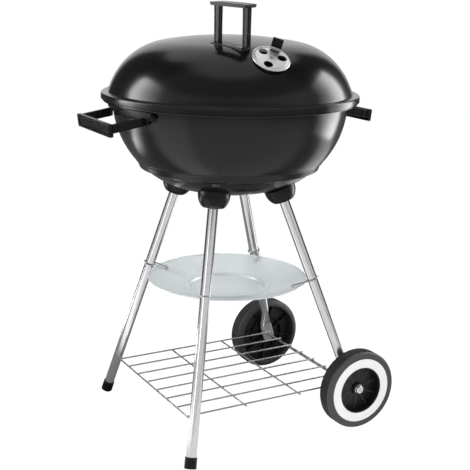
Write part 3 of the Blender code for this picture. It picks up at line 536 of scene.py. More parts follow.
def make_vent():
    at = vent_frame(VENT_LIFT)
    tab = at @ Matrix.Rotation(VENT_TAB_ANGLE, 4, "Z")
    edge = VENT_DISC_R
    slot_x, tongue_x = 0.0203, edge - 0.0022
    profile = [(0, 0.0010), (edge - 0.0060, 0.0007), (edge - 0.0048, -0.0001), (edge - 0.0040, 0.0),
               (edge - 0.0024, 0.0006), (edge - 0.0010, 0.0004), (edge, -0.0006), (edge - 0.0004, -0.0016),
               (edge - 0.0014, -0.0010), (edge - 0.0050, -0.0011), (edge - 0.0062, -0.0004), (0, 0.0)]
    disc = raw("vent_disc", turned(soften(profile, 0.0008, closed=False, n=3), matrix=at))
    slot = raw("tool", block((0.0042, 0.0150, 0.0100), tab @ shift(slot_x, 0, 0), 0.0012, 3))
    carve(disc, three_holes(VENT_HOLE_R, 0.004, at) + [slot, bore_tool(at, 0.01)])
    piece("vent_disc", disc, ["lid_damper_disc"], sharp=40)
    tongue = block((0.0010, 0.0120, 0.0120), tab @ shift(tongue_x, 0, 0.0054), 0.0002, 2)
    piece("vent_tongue", tongue, "lid_damper_disc")
    # painted shade: a thin black plate under the slot, not a real part, stands in for the shadow seen
    # through the slot
    back = block((0.0070, 0.0182, 0.0003), tab @ shift(slot_x, 0, -0.0012), 0.0001, 1)
    piece("vent_slot_painted_shade", back, "lid_damper_disc", MATS["hub"])
    sleeve = raw("vent_tab", block((0.0034, 0.0172, 0.0165), tab @ shift(tongue_x, 0, 0.0108), 0.0007))
    carve(sleeve, [raw("tool", block((0.0016, 0.0126, 0.0120), tab @ shift(tongue_x, 0, 0.0057)))])
    piece("vent_tab", sleeve, ["lid_damper_tab"], sharp=50, crisp=True)
    rivet = [(0, 0.0017), (0.0014, 0.0017), (0.0019, 0.0021), (0.0032, 0.0018), (0.0036, 0.0013),
             (SCREW_R, 0.0013), (SCREW_R, -0.0050), (0.0042, -0.0050), (0.0042, -0.0062), (0, -0.0066)]
    piece("vent_rivet", turned(soften(rivet, 0.0005, closed=False, n=3), 32, matrix=at),
          ["lid_damper_rivet"])


def cross_head(name, cad, at, head_r, head_h, shank_r, shank_len):
    """A screw with a cross cut in its head, which stands up along the Z of at."""
    profile = [(0, head_h), (head_r * 0.6, head_h * 0.97), (head_r * 0.9, head_h * 0.6), (head_r, 0.0002),
               (head_r * 0.97, 0), (shank_r, 0), (shank_r, -shank_len + 0.0006),
               (shank_r * 0.7, -shank_len), (0, -shank_len)]
    screw = raw(name, turned(soften(profile, head_h * 0.3, closed=False, n=3), 32))
    turns = [Matrix.Rotation(a, 4, "Z") @ shift(0, 0, head_h) for a in (0.3, 0.3 + math.pi / 2)]
    carve(screw, [raw("tool", block((head_r * 1.05, head_r * 0.24, head_h), turn)) for turn in turns])
    screw.data.transform(at)
    piece(name, screw, [cad])


def make_screws():
    """Cross-headed screws and bolts in place of the plain ones."""
    for i, side in enumerate((-1, 1)):
        spot = knob_frame() @ Vector((side * POST_X, POST_Y, 0))
        inside = dome_height(math.hypot(spot.x, spot.y) + 0.0045)[0] - SHEET * 1.2 - 2 * GAP
        at = knob_frame() @ shift(side * POST_X, POST_Y, inside - spot.z) @ Matrix.Rotation(math.pi, 4, "X")
        cross_head(f"handle_screw_{i + 1}", f"lid_handle_screw_{i + 1}", at, 0.0045, 0.0028, SCREW_R, 0.016)
    for label, turn in (("right", 0.0), ("left", math.pi)):
        for side in (-1, 1):
            angle = turn + side * SIDE_BOLT_ANGLE
            tag = f"{label}_{'front' if math.sin(angle) < 0 else 'rear'}"
            seat = axis_frame(polar(WALL_R + 0.0047 + GAP, angle, SIDE_BOLT_Z), polar(1.0, angle))
            cross_head(f"side_bolt_{tag}", f"side_handle_bolt_{tag}", seat, 0.0045, 0.0028, SCREW_R, 0.0122)
    for name, sx, sy in LEGS:
        top, up = leg_top(sx, sy)
        seat = axis_frame(top + up * (0.0026 + SHEET * 1.1), up)
        cross_head(f"leg_screw_{name}", f"leg_bolt_{name}", seat, 0.0065, 0.0038, 0.0030, 0.0180)


# ---- bowl ---------------------------------------------------------------------------------
def floor_line(offset, end_radius, count):
    turn = math.asin(end_radius / (FLOOR_ARC + offset))
    return arc((0.0, BOWL_BOTTOM + FLOOR_ARC), FLOOR_ARC + offset, math.pi - turn, math.pi, count)


def lower_line(offset):
    """The bowl's outside below its ledge: the dish, then the floor."""
    run = FLOOR_ARC - DISH_ARC
    centre = (run * math.sin(FLOOR_ANGLE), BOWL_BOTTOM + FLOOR_ARC - run * math.cos(FLOOR_ANGLE))
    start = math.pi - math.asin((DISH_TOP_R - centre[0]) / DISH_ARC)
    return (arc(centre, DISH_ARC + offset, start, math.pi - FLOOR_ANGLE, 12)
            + floor_line(offset, (FLOOR_ARC + offset) * math.sin(FLOOR_ANGLE), 14)[1:])


def air_tools(radius):
    """Three air holes and the rivet's hole between them."""
    spots = [polar(0.0270, math.radians(90 + 120 * i), BOWL_BOTTOM) for i in range(3)]
    return ([bore_tool(Matrix.Translation(p), 0.012, radius, 40) for p in spots]
            + [bore_tool(shift(0, 0, BOWL_BOTTOM), 0.01)])


def make_bowl():
    flange = RIM_Z - 2 * SHEET - GAP - 0.0002
    lip = LIP_R - SHEET
    rim = soften([(lip, LIP_BOTTOM + 0.0006), (lip, flange), (WALL_R, flange), (WALL_R, WALL_ARC_Z)], 0.0018,
                 closed=False, n=5)[:-1]
    wall_c = (WALL_R - WALL_ARC, WALL_ARC_Z)
    wall_end = math.pi - math.asin((GROOVE_R - wall_c[0]) / WALL_ARC)
    wall = arc(wall_c, WALL_ARC, math.pi / 2, wall_end, 34)
    groove_z = wall[-1][1]
    lower = lower_line(0.0)
    ledge = soften([wall[-1], (GROOVE_R - 0.0006, groove_z - 0.0010), (0.1600, 0.4714), (0.1584, 0.4684),
                    (0.1553, 0.4608), (0.1515, 0.4594), lower[0]], 0.0008, closed=False, n=4)[1:-1]
    bowl = raw("bowl_body", turned(shell(rim + wall + ledge + lower, SHEET), 144, closed=True))
    tools = air_tools(0.0100)
    tools += [bore_tool(axis_frame(*leg_top(sx, sy)), 0.008, 0.0034) for _, sx, sy in LEGS]
    for base in (0.0, math.pi):
        for side in (-1, 1):
            angle = base + side * SIDE_BOLT_ANGLE
            tools.append(rod_tool(polar(0.190, angle, SIDE_BOLT_Z), polar(0.208, angle, SIDE_BOLT_Z)))
    carve(bowl, tools)
    piece("bowl_body", bowl, ["bowl_shell"], sharp=50)
    bm = turned(circle((LIP_R - 0.0008, LIP_BOTTOM + 0.0015), 0.0014), 144, closed=True)
    lathe(bm, circle((GROOVE_R - 0.0006, groove_z + 0.0002), 0.0011), 144, closed=True)
    piece("bowl_bead", bm, "bowl_shell")


def make_bowl_damper():
    under = floor_line(GAP * 1.7, 0.0430, 8)
    outer = [(r, z - SHEET) for r, z in under]
    disc = raw("bowl_vent_disc", turned(outer[::-1] + under))
    carve(disc, air_tools(0.0105))
    piece("bowl_vent_disc", disc, ["bowl_damper_disc"])
    tab = block((0.0012, 0.0138, 0.0120), shift(0.0405, 0, BOWL_BOTTOM - 0.0062), 0.0005)
    piece("bowl_vent_tab", tab, "bowl_damper_disc")


def make_grates():
    """Wire rings and bars, a little finer than the CAD's."""
    wire = 0.0025
    grates = (("cooking_grate", 0.1885, 13, 0.0018), ("charcoal_grate", 0.1524, 7, 0.0024))
    for name, ring_r, bars, bar_r in grates:
        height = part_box(name)[1].z - wire
        bm = turned(circle((ring_r, height), wire, 16), 128, closed=True)
        for k in range(bars):
            y = ring_r * (2 * (k + 1) / (bars + 1) - 1)
            half = math.sqrt(ring_r ** 2 - y ** 2)
            tube(bm, ((-half, y, height), (half, y, height)), bar_r, 14)
        low_z = height - bar_r * 0.83
        for x in (-ring_r * 0.42, ring_r * 0.42):
            half = math.sqrt(ring_r ** 2 - x ** 2) - 0.001
            tube(bm, ((x, -half, low_z), (x, half, low_z)), bar_r, 14)
        piece(f"{name}_wires", bm, [name], sharp=60)


# ---- side handles -------------------------------------------------------------------------
def handle_plate(bm, plate):
    """A tray-shaped plate: its border stands proud of a sunk, ridged panel on both faces."""
    half_t = 0.0035
    face = [(half_t * 0.40, 0.0640, 0.0062), (half_t - 0.0003, 0.0648, 0.0070), (half_t, 0.0655, 0.0078),
            (half_t, 0.0677, 0.0098), (half_t - 0.0008, 0.0685, 0.0105)]
    rows = []
    for x, w, h in face + [(-x, w, h) for x, w, h in face[::-1]]:
        rows.append([plate @ Vector((x, y, z)) for y, z in soften(rectangle(-w, -h, w, h), 0.0012, n=3)])
    loft(bm, rows)
    for z in (-0.0030, 0.0030):
        box(bm, (0.0010, 0.122, 0.0012), plate @ shift(half_t * 0.40 + 0.0001, 0, z), 0.0003, 2)


def handle_arm(bm, arm):
    """A web between two flanges, with three cross ribs."""
    for z in (-0.0059, 0.0059):
        box(bm, (0.0550, 0.0060, 0.0022), arm @ shift(0, 0, z), 0.0006, 2)
    box(bm, (0.0545, 0.0034, 0.0120), arm)
    for x in (-0.0258, 0.0150, 0.0235):
        box(bm, (0.0022, 0.0060, 0.0128), arm @ shift(x, 0, 0), 0.0005, 2)


def handle_foot(bm, spin):
    """A narrow band on the bowl, with a lug at each arm and an ear round each bolt."""
    band, lug = (0.5612, 0.5712), (0.5500, 0.5715)
    half = [(a, *band) for a in (0, 4, 8, 12, 14.6)] + [(15.4, 0.5606, 0.5713), (15.9, 0.5506, 0.5714)]
    half += [(a, *lug) for a in (16.4, 18.6, 20.8)]
    half += [(21.4, 0.5512, 0.5715), (22.0, 0.5560, 0.5713), (23.0, 0.5590, 0.5710), (24.2, 0.5597, 0.5704),
             (25.2, 0.5604, 0.5697), (25.9, 0.5617, 0.5685), (26.3, 0.5632, 0.5670), (26.5, 0.5646, 0.5656)]
    sections = []
    for a, z0, z1 in [(-a, z0, z1) for a, z0, z1 in half[:0:-1]] + half:
        outline = rectangle(WALL_R + 0.0006, z0, WALL_R + 0.0047, z1)
        outline = soften(outline, min(0.0009, (z1 - z0) * 0.3), n=3)
        sections.append([spin @ polar(r, math.radians(a), z) for r, z in outline])
    loft(bm, sections)
    ring = [(0.0056, -0.0020), (0.0056, 0.0003), (0.0050, 0.0003), (0.0050, -0.0020)]
    for angle in (-SIDE_BOLT_ANGLE, SIDE_BOLT_ANGLE):
        at = spin @ axis_frame(polar(WALL_R + 0.0044, angle, SIDE_BOLT_Z), polar(1.0, angle))
        lathe(bm, soften(ring, 0.0003, n=2), 32, closed=True, matrix=at)


def make_side_handles():
    lean, droop = math.radians(7.0), math.radians(9.4)
    for label, turn in (("right", 0.0), ("left", math.pi)):
        spin = Matrix.Rotation(turn, 4, "Z")
        bm = bmesh.new()
        handle_plate(bm, spin @ shift(SIDE_REACH - 0.0047, 0, SIDE_Z) @ Matrix.Rotation(lean, 4, "Y"))
        for y in (-SIDE_LEN / 2 + 0.0034, SIDE_LEN / 2 - 0.0034):
            handle_arm(bm, spin @ shift(0.2195, y, 0.5512) @ Matrix.Rotation(droop, 4, "Y"))
        handle_foot(bm, spin)
        piece(f"side_grip_{label}", bm, [f"side_handle_{label}"], sharp=40, crisp=True)


# ---- legs ---------------------------------------------------------------------------------
def leg_line(sx, sy):
    """Exit point from the socket and unit direction up the leg."""
    sign = (sx, sy, 1)
    exit_point = Vector([LEG_EXIT[k] * sign[k] for k in range(3)])
    low_end = WHEEL_LEG_END if sx > 0 else FOOT
    return exit_point, (exit_point - Vector([low_end[k] * sign[k] for k in range(3)])).normalized()


def leg_top(sx, sy):
    point, up = leg_line(sx, sy)
    offset = point - Vector((0, 0, BOWL_BOTTOM + FLOOR_ARC))
    b = offset.dot(up)
    reach = -b - math.sqrt(b * b - offset.length_squared + FLOOR_ARC ** 2) - 0.0009
    return point + up * reach, up


def make_legs():
    high = SOCKET_H + 0.0045
    bore = TUBE_R + GAP
    socket = [(bore, high), (SOCKET_R - 0.0008, high), (SOCKET_R, high - 0.0012), (0.0269, 0.0195),
              (0.0256, 0.0145), (0.0232, 0.0096), (0.0204, 0.0056), (0.0182, 0.0034), (0.0168, 0.0028),
              (0.0118, 0.0028), (0.0108, 0.0034), (bore, 0.0034)]
    for name, sx, sy in LEGS:
        point, up = leg_line(sx, sy)
        make_leg = flattened_leg if sx > 0 else capped_leg
        make_leg(name, leg_top(sx, sy)[0], up, sy)
        cup = turned(soften(socket, 0.0012, n=3), 64, closed=True, matrix=axis_frame(point, up))
        bowl = turned([(0, 0.490), (0.152, 0.490), (0.152, 0.464)] + lower_line(GAP), 144)
        cup = carve(raw(f"socket_{name}", cup), [raw("tool", bowl)])
        piece(f"socket_{name}", cup, [f"leg_socket_{name}"], sharp=50)


def capped_leg(name, top, up, sy):
    foot = Vector((-FOOT.x, sy * FOOT.y, 0.0))
    cap_end = foot + up * (0.0023 / up.z)
    low_end = cap_end + up * 0.0033
    length = (top - low_end).length
    section = [(TUBE_R, length), (TUBE_R, 0), (TUBE_R - TUBE_WALL, 0), (TUBE_R - TUBE_WALL, length)]
    leg = raw("tube", turned(soften(section, 0.0004, n=2), 64, closed=True, matrix=axis_frame(low_end, up)))
    peg = [(SHELF_X0, sy * y, SHELF_LOW_Z) for y in (0.146, 0.1600)]
    carve(leg, [rod_tool(*peg, SHELF_WIRE + 0.0004, 20)])
    piece(f"tube_{name}", leg, [f"leg_{name}"], sharp=50)
    bore = TUBE_R + GAP
    outer = bore + 0.00125
    side = [(bore, 0.0180), (outer + 0.0001, 0.0180), (outer + 0.0001, 0.0166), (outer - 0.0002, 0.0160),
            (outer, 0.0)]
    cap = soften(side, 0.0005, closed=False, n=3) + [(0, 0), (0, 0.0030), (bore, 0.0030), (bore, 0.0180)]
    shoe = raw("shoe", turned(cap, 48, matrix=axis_frame(cap_end, up)))
    carve(shoe, [raw("tool", block((0.06, 0.06, 0.02), shift(foot.x, foot.y, -0.01)))])
    piece(f"shoe_{name}", shoe, [f"foot_cap_{name}"], sharp=40)


def flattened_leg(name, top, up, sy):
    """A tube squeezed flat at its foot. Its middle keeps a soft crease where the squeeze starts."""
    along = Vector((up.x, 0, up.z)).normalized()
    wide = Vector((0, 1, 0)).cross(along)
    sides = 64

    def ring(centre, half_w, half_t, square, flat):
        across = up.cross(wide).lerp(Vector((0, 1, 0)), flat).normalized()
        out = []
        for k in range(sides):
            c, s = math.cos(math.tau * k / sides), math.sin(math.tau * k / sides)
            x = math.copysign(abs(c) ** square, c) * half_w
            y = math.copysign(abs(s) ** square, s) * half_t
            out.append(centre + wide * x + across * y)
        return out

    def on_leg(height):
        return top - up * ((top.z - height) / up.z)

    def flat_centre(height, y=FLAT_Y):
        drop = (height - AXLE.z) / along.z
        return Vector((AXLE.x + along.x * drop, sy * y, height))

    flat_w, flat_t = FLAT_W / 2, FLAT_T / 2
    keys = [(top, TUBE_R, TUBE_R, 1.0, 0.0),
            (on_leg(0.1340), TUBE_R, TUBE_R, 1.0, 0.0),
            (on_leg(0.1290), 0.0089, 0.0085, 1.0, 0.05),
            (flat_centre(0.1160, 0.1362), 0.0100, 0.0066, 0.95, 0.3),
            (flat_centre(0.1020, 0.1412), 0.0116, 0.0038, 0.8, 0.7),
            (flat_centre(0.0915), flat_w, flat_t, 0.6, 1.0),
            (flat_centre(AXLE.z + 0.0040), flat_w, flat_t, 0.6, 1.0),
            (flat_centre(AXLE.z - 0.0060), flat_w * 0.98, flat_t, 0.6, 1.0),
            (flat_centre(AXLE.z - 0.0100), flat_w * 0.84, flat_t, 0.6, 1.0),
            (flat_centre(AXLE.z - 0.0124), flat_w * 0.60, flat_t * 0.9, 0.6, 1.0)]
    rings = [ring(*keys[0]), ring(*keys[1])]
    for a, b in zip(keys[1:-1], keys[2:]):
        for k in range(1, 4):
            t = k / 3
            t = t * t * (3 - 2 * t) if k < 3 else 1.0
            rings.append(ring(a[0].lerp(b[0], k / 3), *[a[j] + (b[j] - a[j]) * t for j in range(1, 5)]))
    bm = bmesh.new()
    loft(bm, rings)
    axle_hole = [(AXLE.x, sy * y, AXLE.z) for y in (0.13, 0.16)]
    leg = carve(raw("tube", bm), [rod_tool(on_leg(0.1420), top + up * 0.005, TUBE_R - TUBE_WALL, 48),
                                  rod_tool(*axle_hole, AXLE_R + GAP, 32)])
    piece(f"tube_{name}", leg, [f"leg_{name}"], sharp=50)


# ---- ash pan, clips, shelf ----------------------------------------------------------------
def pan_height(radius):
    return PAN_Z - (PAN_R - radius) * 0.288


def clip_frame(sx, sy):
    """Where a clip holds its leg: the centre, the direction inwards, the one beside it, the eye's angle."""
    point, up = leg_line(sx, sy)
    centre = point - up * ((point.z - CLIP_Z) / up.z)
    outward = Vector((centre.x, centre.y, 0)).normalized()
    inwards = (-outward + up * outward.dot(up)).normalized()
    return centre, inwards, up.cross(inwards), math.atan2(centre.y, centre.x) + EYE_TURN


def make_pan():
    line = [(PAN_R, PAN_Z + 0.0006), (PAN_R - 0.0014, PAN_Z - 0.0006), (0.1090, pan_height(0.1090)),
            (0.0772, pan_height(0.0772)), (0.0745, 0.2424), (0.0715, 0.2438), (0.0685, 0.2424),
            (0.0660, 0.2382), (0.0640, 0.2376), (0.0400, 0.2373), (0, 0.2372)]
    pan = raw("pan", turned(shell(soften(line, 0.0022, closed=False, n=5), 0.0010), 128, closed=True))
    eyes = [polar(EYE_R, clip_frame(sx, sy)[3], 0.255) for _, sx, sy in LEGS]
    carve(pan, [bore_tool(Matrix.Translation(eye), 0.015, CLIP_WIRE + 0.0012, 32) for eye in eyes])
    piece("pan_dish", pan, ["ash_pan"], sharp=50).visible_glossy = False
    hem = circle((PAN_R - 0.0003, PAN_Z + 0.0012), 0.0010)
    piece("pan_hem", turned(hem, 128, closed=True), "ash_pan")
    ring_r = TUBE_R + CLIP_WIRE + 2 * GAP
    eye_z = pan_height(EYE_R)
    for name, sx, sy in LEGS:
        centre, inwards, sideways, angle = clip_frame(sx, sy)
        turns = [math.radians(395 - 30.5 * k) for k in range(11)]
        path = [centre + inwards * (ring_r * math.cos(a)) + sideways * (ring_r * math.sin(a)) for a in turns]
        for out, rise in ((0.0050, 0.0054), (0.0016, 0.0048), (0.0, 0.0030), (0.0, -0.0040)):
            path.append(polar(EYE_R + out, angle, eye_z + rise))
        eye = [(0, 0), (0.0024, 0.0), (0.0024, 0.0012), (0.0014, 0.0022), (0.0, 0.0024)]
        bm = bmesh.new()
        tube(bm, smooth_path(path), CLIP_WIRE + 0.0003, 12)
        lathe(bm, eye, 20, matrix=Matrix.Translation(polar(EYE_R, angle, eye_z + 0.0012)))
        piece(f"clip_{name}", bm, [f"ash_pan_clip_{name}"], sharp=60)


def make_shelf():
    third = (AXLE.x - SHELF_X0) / 3
    crossings = [(SHELF_X0, 0.1560)] + [(SHELF_X0 + k * third, SHELF_Y + 0.004) for k in (1, 2)]
    bm = bmesh.new()
    for x, y in crossings:
        tube(bm, ((x, -y, SHELF_LOW_Z), (x, y, SHELF_LOW_Z)), SHELF_WIRE, 14)
    for k in range(SHELF_RUNS):
        y = -SHELF_Y + 2 * SHELF_Y * k / (SHELF_RUNS - 1)
        tube(bm, ((SHELF_X0 - 0.0012, y, SHELF_Z), (SHELF_X1, y, SHELF_Z)), SHELF_WIRE, 14)
        for x, _ in crossings:                     # spot welds
            at = shift(x, y, (SHELF_Z + SHELF_LOW_Z) / 2)
            bmesh.ops.create_uvsphere(bm, u_segments=10, v_segments=6, radius=0.00155, matrix=at)
    piece("shelf_wires", bm, ["bottom_rack"], sharp=60)


# ---- wheels -------------------------------------------------------------------------------
RING_IN, RING_OUT, RING_T = 0.0425, 0.0586, 0.0022
WHEEL_BORE = AXLE_R + GAP


def make_wheels():
    bm = bmesh.new()
    reach = WHEEL_FACE - 0.0040
    tube(bm, ((AXLE.x, -reach, AXLE.z), (AXLE.x, reach, AXLE.z)), AXLE_R, 32)
    piece("axle_rod", bm, ["axle"], sharp=60)
    wall = [(RING_OUT + GAP, -0.0020), (RING_OUT + GAP, 0.0), (0.0610, 0.0), (0.0650, -0.0002),
            (0.0680, -0.0006), (0.0695, -0.0013), (0.0703, -0.0026), (WHEEL_R - 0.0001, -0.0040),
            (0.0690, -0.0040), (0.0600, -0.0020)]
    ring = [(RING_OUT, -RING_T), (RING_OUT, -0.0002), (RING_OUT - 0.0006, 0.0), (RING_IN + 0.0006, 0.0),
            (RING_IN, -0.0002), (RING_IN, -RING_T)]
    cap = [(0, -0.0030), (0.0016, -0.0029), (0.0032, -0.0010), (0.0046, -0.0008), (0.0063, -0.0014),
           (0.0074, -0.0028), (0.0078, -0.0048), (0.0088, -0.0056), (0.0088, -0.0070),
           (WHEEL_BORE, -0.0070), (WHEEL_BORE, -0.0034), (0, -0.0034)]
    for label, side in (("front", -1), ("rear", 1)):
        at = axis_frame((AXLE.x, side * WHEEL_FACE, AXLE.z), (0, side, 0))
        wheel = f"wheel_{label}"
        piece(f"tyre_{label}", tyre_mesh(at), [wheel], sharp=32)
        bm = turned(soften(wall, 0.0003, n=2), 128, closed=True, matrix=at)
        piece(f"sidewall_{label}", bm, wheel, MATS["sidewall"], sharp=35)
        piece(f"hub_{label}", hub_mesh(at), wheel, MATS["hub"], sharp=35)
        bm = bmesh.new()
        for k in range(10):
            turn = at @ Matrix.Rotation(math.radians(36 * k + 14), 4, "Z")
            box(bm, (0.0288, 0.0011, 0.0014), turn @ shift(0.0256, 0, -0.0132), 0.0003, 2)
        piece(f"ribs_{label}", bm, wheel, MATS["sidewall"], sharp=35)
        bm = turned(soften(ring, 0.0003, n=2), 128, closed=True, matrix=at)
        piece(f"white_ring_{label}", bm, [f"wheel_ring_{label}"], sharp=40)
        bm = turned(soften(cap, 0.0006, closed=False, n=3), 48, matrix=at)
        for k in range(3):
            turn = Matrix.Rotation(math.radians(120 * k + 20), 4, "Z")
            box(bm, (0.0014, 0.0022, 0.0012), at @ turn @ shift(0.0024, 0, -0.0017), 0.0004, 2)
        piece(f"push_cap_{label}", bm, [f"hub_cap_{label}"], sharp=45)


def tyre_mesh(at):
    """Outer rim with a staggered lateral tread; depths run in from the wheel's outer face."""
    r = WHEEL_R
    section = [(0.0580, 0.0180), (0.0412, 0.0180), (0.0410, 0.0006), (RING_IN - GAP, 0.0),
               (RING_IN - GAP, RING_T + GAP), (0.0600, RING_T + GAP), (0.0688, 0.0043), (r - 0.0005, 0.0044)]
    flags = [None] * len(section)                  # the tread row that a point belongs to
    for i, (a, b) in enumerate(((0.0056, 0.0118), (0.0123, 0.0185), (0.0190, 0.0252))):
        section += [(r - 0.0004, a), (r, a + 0.0004), (r, b - 0.0004), (r - 0.0004, b)]
        flags += [None, i, i, None]
    tail = [(r - 0.0005, 0.0060), (0.0694, 0.0045), (0.0680, 0.0028), (0.0655, 0.0012), (0.0615, 0.0),
            (0.0592, 0.0), (0.0586, 0.0006)]
    section += [(radius, WHEEL_W - inset) for radius, inset in tail]
    flags += [None] * len(tail)
    pitches, per, tread_depth = 104, 4, 0.0016
    count = pitches * per
    bm = bmesh.new()
    rings = []
    for (radius, depth), flag in zip(section, flags):
        ring = []
        for k in range(count):
            stagger = 2 if flag == 1 else 0
            in_groove = flag is not None and (k + stagger) % per in (0, 1)
            spot = polar(radius - (tread_depth if in_groove else 0.0), math.tau * k / count, -depth)
            ring.append(bm.verts.new(at @ spot))
        rings.append(ring)
    for a, b in zip(rings, rings[1:] + rings[:1]):
        for k in range(count):
            n = (k + 1) % count
            bm.faces.new((a[k], a[n], b[n], b[k]))
    return bm


def hub_mesh(at):
    """Web and boss, with eight deep ribs and a ring on the inner side."""
    boss_end = 0.0046 - WHEEL_W
    web = [(0.0411, -0.0130), (0.0411, -0.0138), (0.0576, -0.0184), (0.0576, -0.0196), (0.0130, -0.0180),
           (0.0120, boss_end), (WHEEL_BORE, boss_end), (WHEEL_BORE, -0.0075), (0.0104, -0.0075),
           (0.0110, -0.0082), (0.0115, -0.0136)]
    bm = turned(soften(web, 0.0006, n=2), closed=True, matrix=at)
    liner = [(0.0409, -0.0010), (0.0409, -0.0132), (0.0398, -0.0132), (0.0402, -0.0010)]
    lathe(bm, soften(liner, 0.0003, n=2), closed=True, matrix=at)
    outline = [(0.0115, -0.0270), (0.0300, -0.0250), (0.0578, -0.0285), (0.0578, -0.0186), (0.0115, -0.0180)]
    for k in range(8):
        prism(bm, outline, 0.0016, at @ Matrix.Rotation(math.radians(45 * k + 10), 4, "Z"))
    ring = [(0.0335, -0.0186), (0.0335, -0.0256), (0.0351, -0.0256), (0.0351, -0.0186)]
    lathe(bm, soften(ring, 0.0003, n=2), closed=True, matrix=at)
    return bm


make_lid()
make_lid_handle()
make_vent()
make_screws()
make_bowl()
make_bowl_damper()
make_grates()
make_side_handles()
make_legs()
make_pan()
make_shelf()
make_wheels()


# ---- stage, lights, camera ----------------------------------------------------------------
VIEW_TURN = math.radians(-119.0)                   # azimuth of the camera from the grill
WHITE = (1.0, 1.0, 1.0, 1.0)


def look_at(position, target, roll=0.0):
    forward = (Vector(target) - Vector(position)).normalized()
    right = forward.cross(Vector((0, 0, 1))).normalized()
    up = right.cross(forward)
    c, s = math.cos(math.radians(roll)), math.sin(math.radians(roll))
    right, up = right * c + up * s, up * c - right * s
    out = Matrix((right, up, -forward)).transposed().to_4x4()
    out.translation = Vector(position)
    return out


def panel(name, turn, height, distance, size, radiance, stops=None, target=None, glossy=True):
    """A soft box round the grill: turn in degrees from the camera, to the right. Stops fade it across."""
    data = bpy.data.lights.new(name, "AREA")
    data.shape = "RECTANGLE"
    data.size, data.size_y = size
    data.energy = radiance * math.pi * size[0] * size[1]
    obj = bpy.data.objects.new(name, data)
    bpy.context.scene.collection.objects.link(obj)
    spot = polar(distance, VIEW_TURN + math.radians(turn), height)
    obj.matrix_world = look_at(spot, target or (0, 0, height))
    obj.visible_camera = False
    obj.visible_glossy = glossy
    if stops:
        data.use_nodes = True
        tree = data.node_tree
        emission = next(n for n in tree.nodes if n.type == "EMISSION")
        place = tree.nodes.new("ShaderNodeNewGeometry").outputs["Parametric"]
        across = add_node(tree, "ShaderNodeSeparateXYZ", place).outputs["X"]
        ramp = add_node(tree, "ShaderNodeValToRGB", across)
        tree.links.new(ramp.outputs["Color"], emission.inputs["Color"])
        while len(ramp.color_ramp.elements) < len(stops):
            ramp.color_ramp.elements.new(0.5)
        for element, (at, value) in zip(ramp.color_ramp.elements, stops):
            element.position = at
            element.color = (value, value, value, 1.0)
    return obj


class Graph:
    """Short-hand for chains of number nodes."""

    def __init__(self, tree):
        self.tree = tree

    def math(self, operation, *values):
        node = add_node(self.tree, "ShaderNodeMath", *values)
        node.operation = operation
        return node.outputs["Value"]

    def add(self, *values):
        return self.math("ADD", *values)

    def times(self, *values):
        return self.math("MULTIPLY", *values)

    def step(self, value, start, end, low_value=0.0, high_value=1.0):
        """A smooth step: low_value at start, high_value at end."""
        if start > end:
            start, end, low_value, high_value = end, start, high_value, low_value
        node = add_node(self.tree, "ShaderNodeMapRange", value, start, end, low_value, high_value)
        node.interpolation_type = "SMOOTHSTEP"
        return node.outputs["Result"]

    def vector(self, operation, *values):
        node = add_node(self.tree, "ShaderNodeVectorMath", *values)
        node.operation = operation
        return node.outputs["Value"]

    def camera_ray(self):
        return self.tree.nodes.new("ShaderNodeLightPath").outputs["Is Camera Ray"]

    def mix_to(self, output, *values):
        mix = add_node(self.tree, "ShaderNodeMixShader", *values)
        self.tree.links.new(mix.outputs["Shader"], self.tree.nodes[output].inputs["Surface"])


def make_world():
    """White to the camera. To all else a dim room: grey front, pale ceiling, pale back wall."""
    world = bpy.data.worlds.new("studio")
    bpy.context.scene.world = world
    world.use_nodes = True
    tree = world.node_tree
    g = Graph(tree)
    direction = tree.nodes.new("ShaderNodeTexCoord").outputs["Generated"]
    rise = g.vector("DOT_PRODUCT", direction, (0, 0, 1))
    flat = g.math("SQRT", g.math("MAXIMUM", g.math("SUBTRACT", 1.0, g.times(rise, rise)), 0.0001))
    facing = g.math("DIVIDE", g.vector("DOT_PRODUCT", direction, polar(1.0, VIEW_TURN)), flat)
    front = g.step(facing, -0.20, 0.25)
    low_band = g.step(rise, 0.62, 0.52)
    ceiling = g.step(rise, 0.86, 0.97)
    wide = g.step(rise, 0.60, 0.85, 0.0, 0.30)
    back = g.step(g.add(g.times(facing, -1.0), wide), 0.90, 0.96)
    total = g.add(0.05, g.times(front, g.add(g.times(low_band, 0.40), 0.19)))
    total = g.math("MAXIMUM", g.add(total, g.times(back, 0.85)), g.times(ceiling, 0.88))
    seen = tree.nodes["Background"]
    seen.inputs["Color"].default_value = WHITE
    lit = add_node(tree, "ShaderNodeBackground", WHITE, total)
    g.mix_to("World Output", g.camera_ray(), lit.outputs["Background"], seen.outputs["Background"])


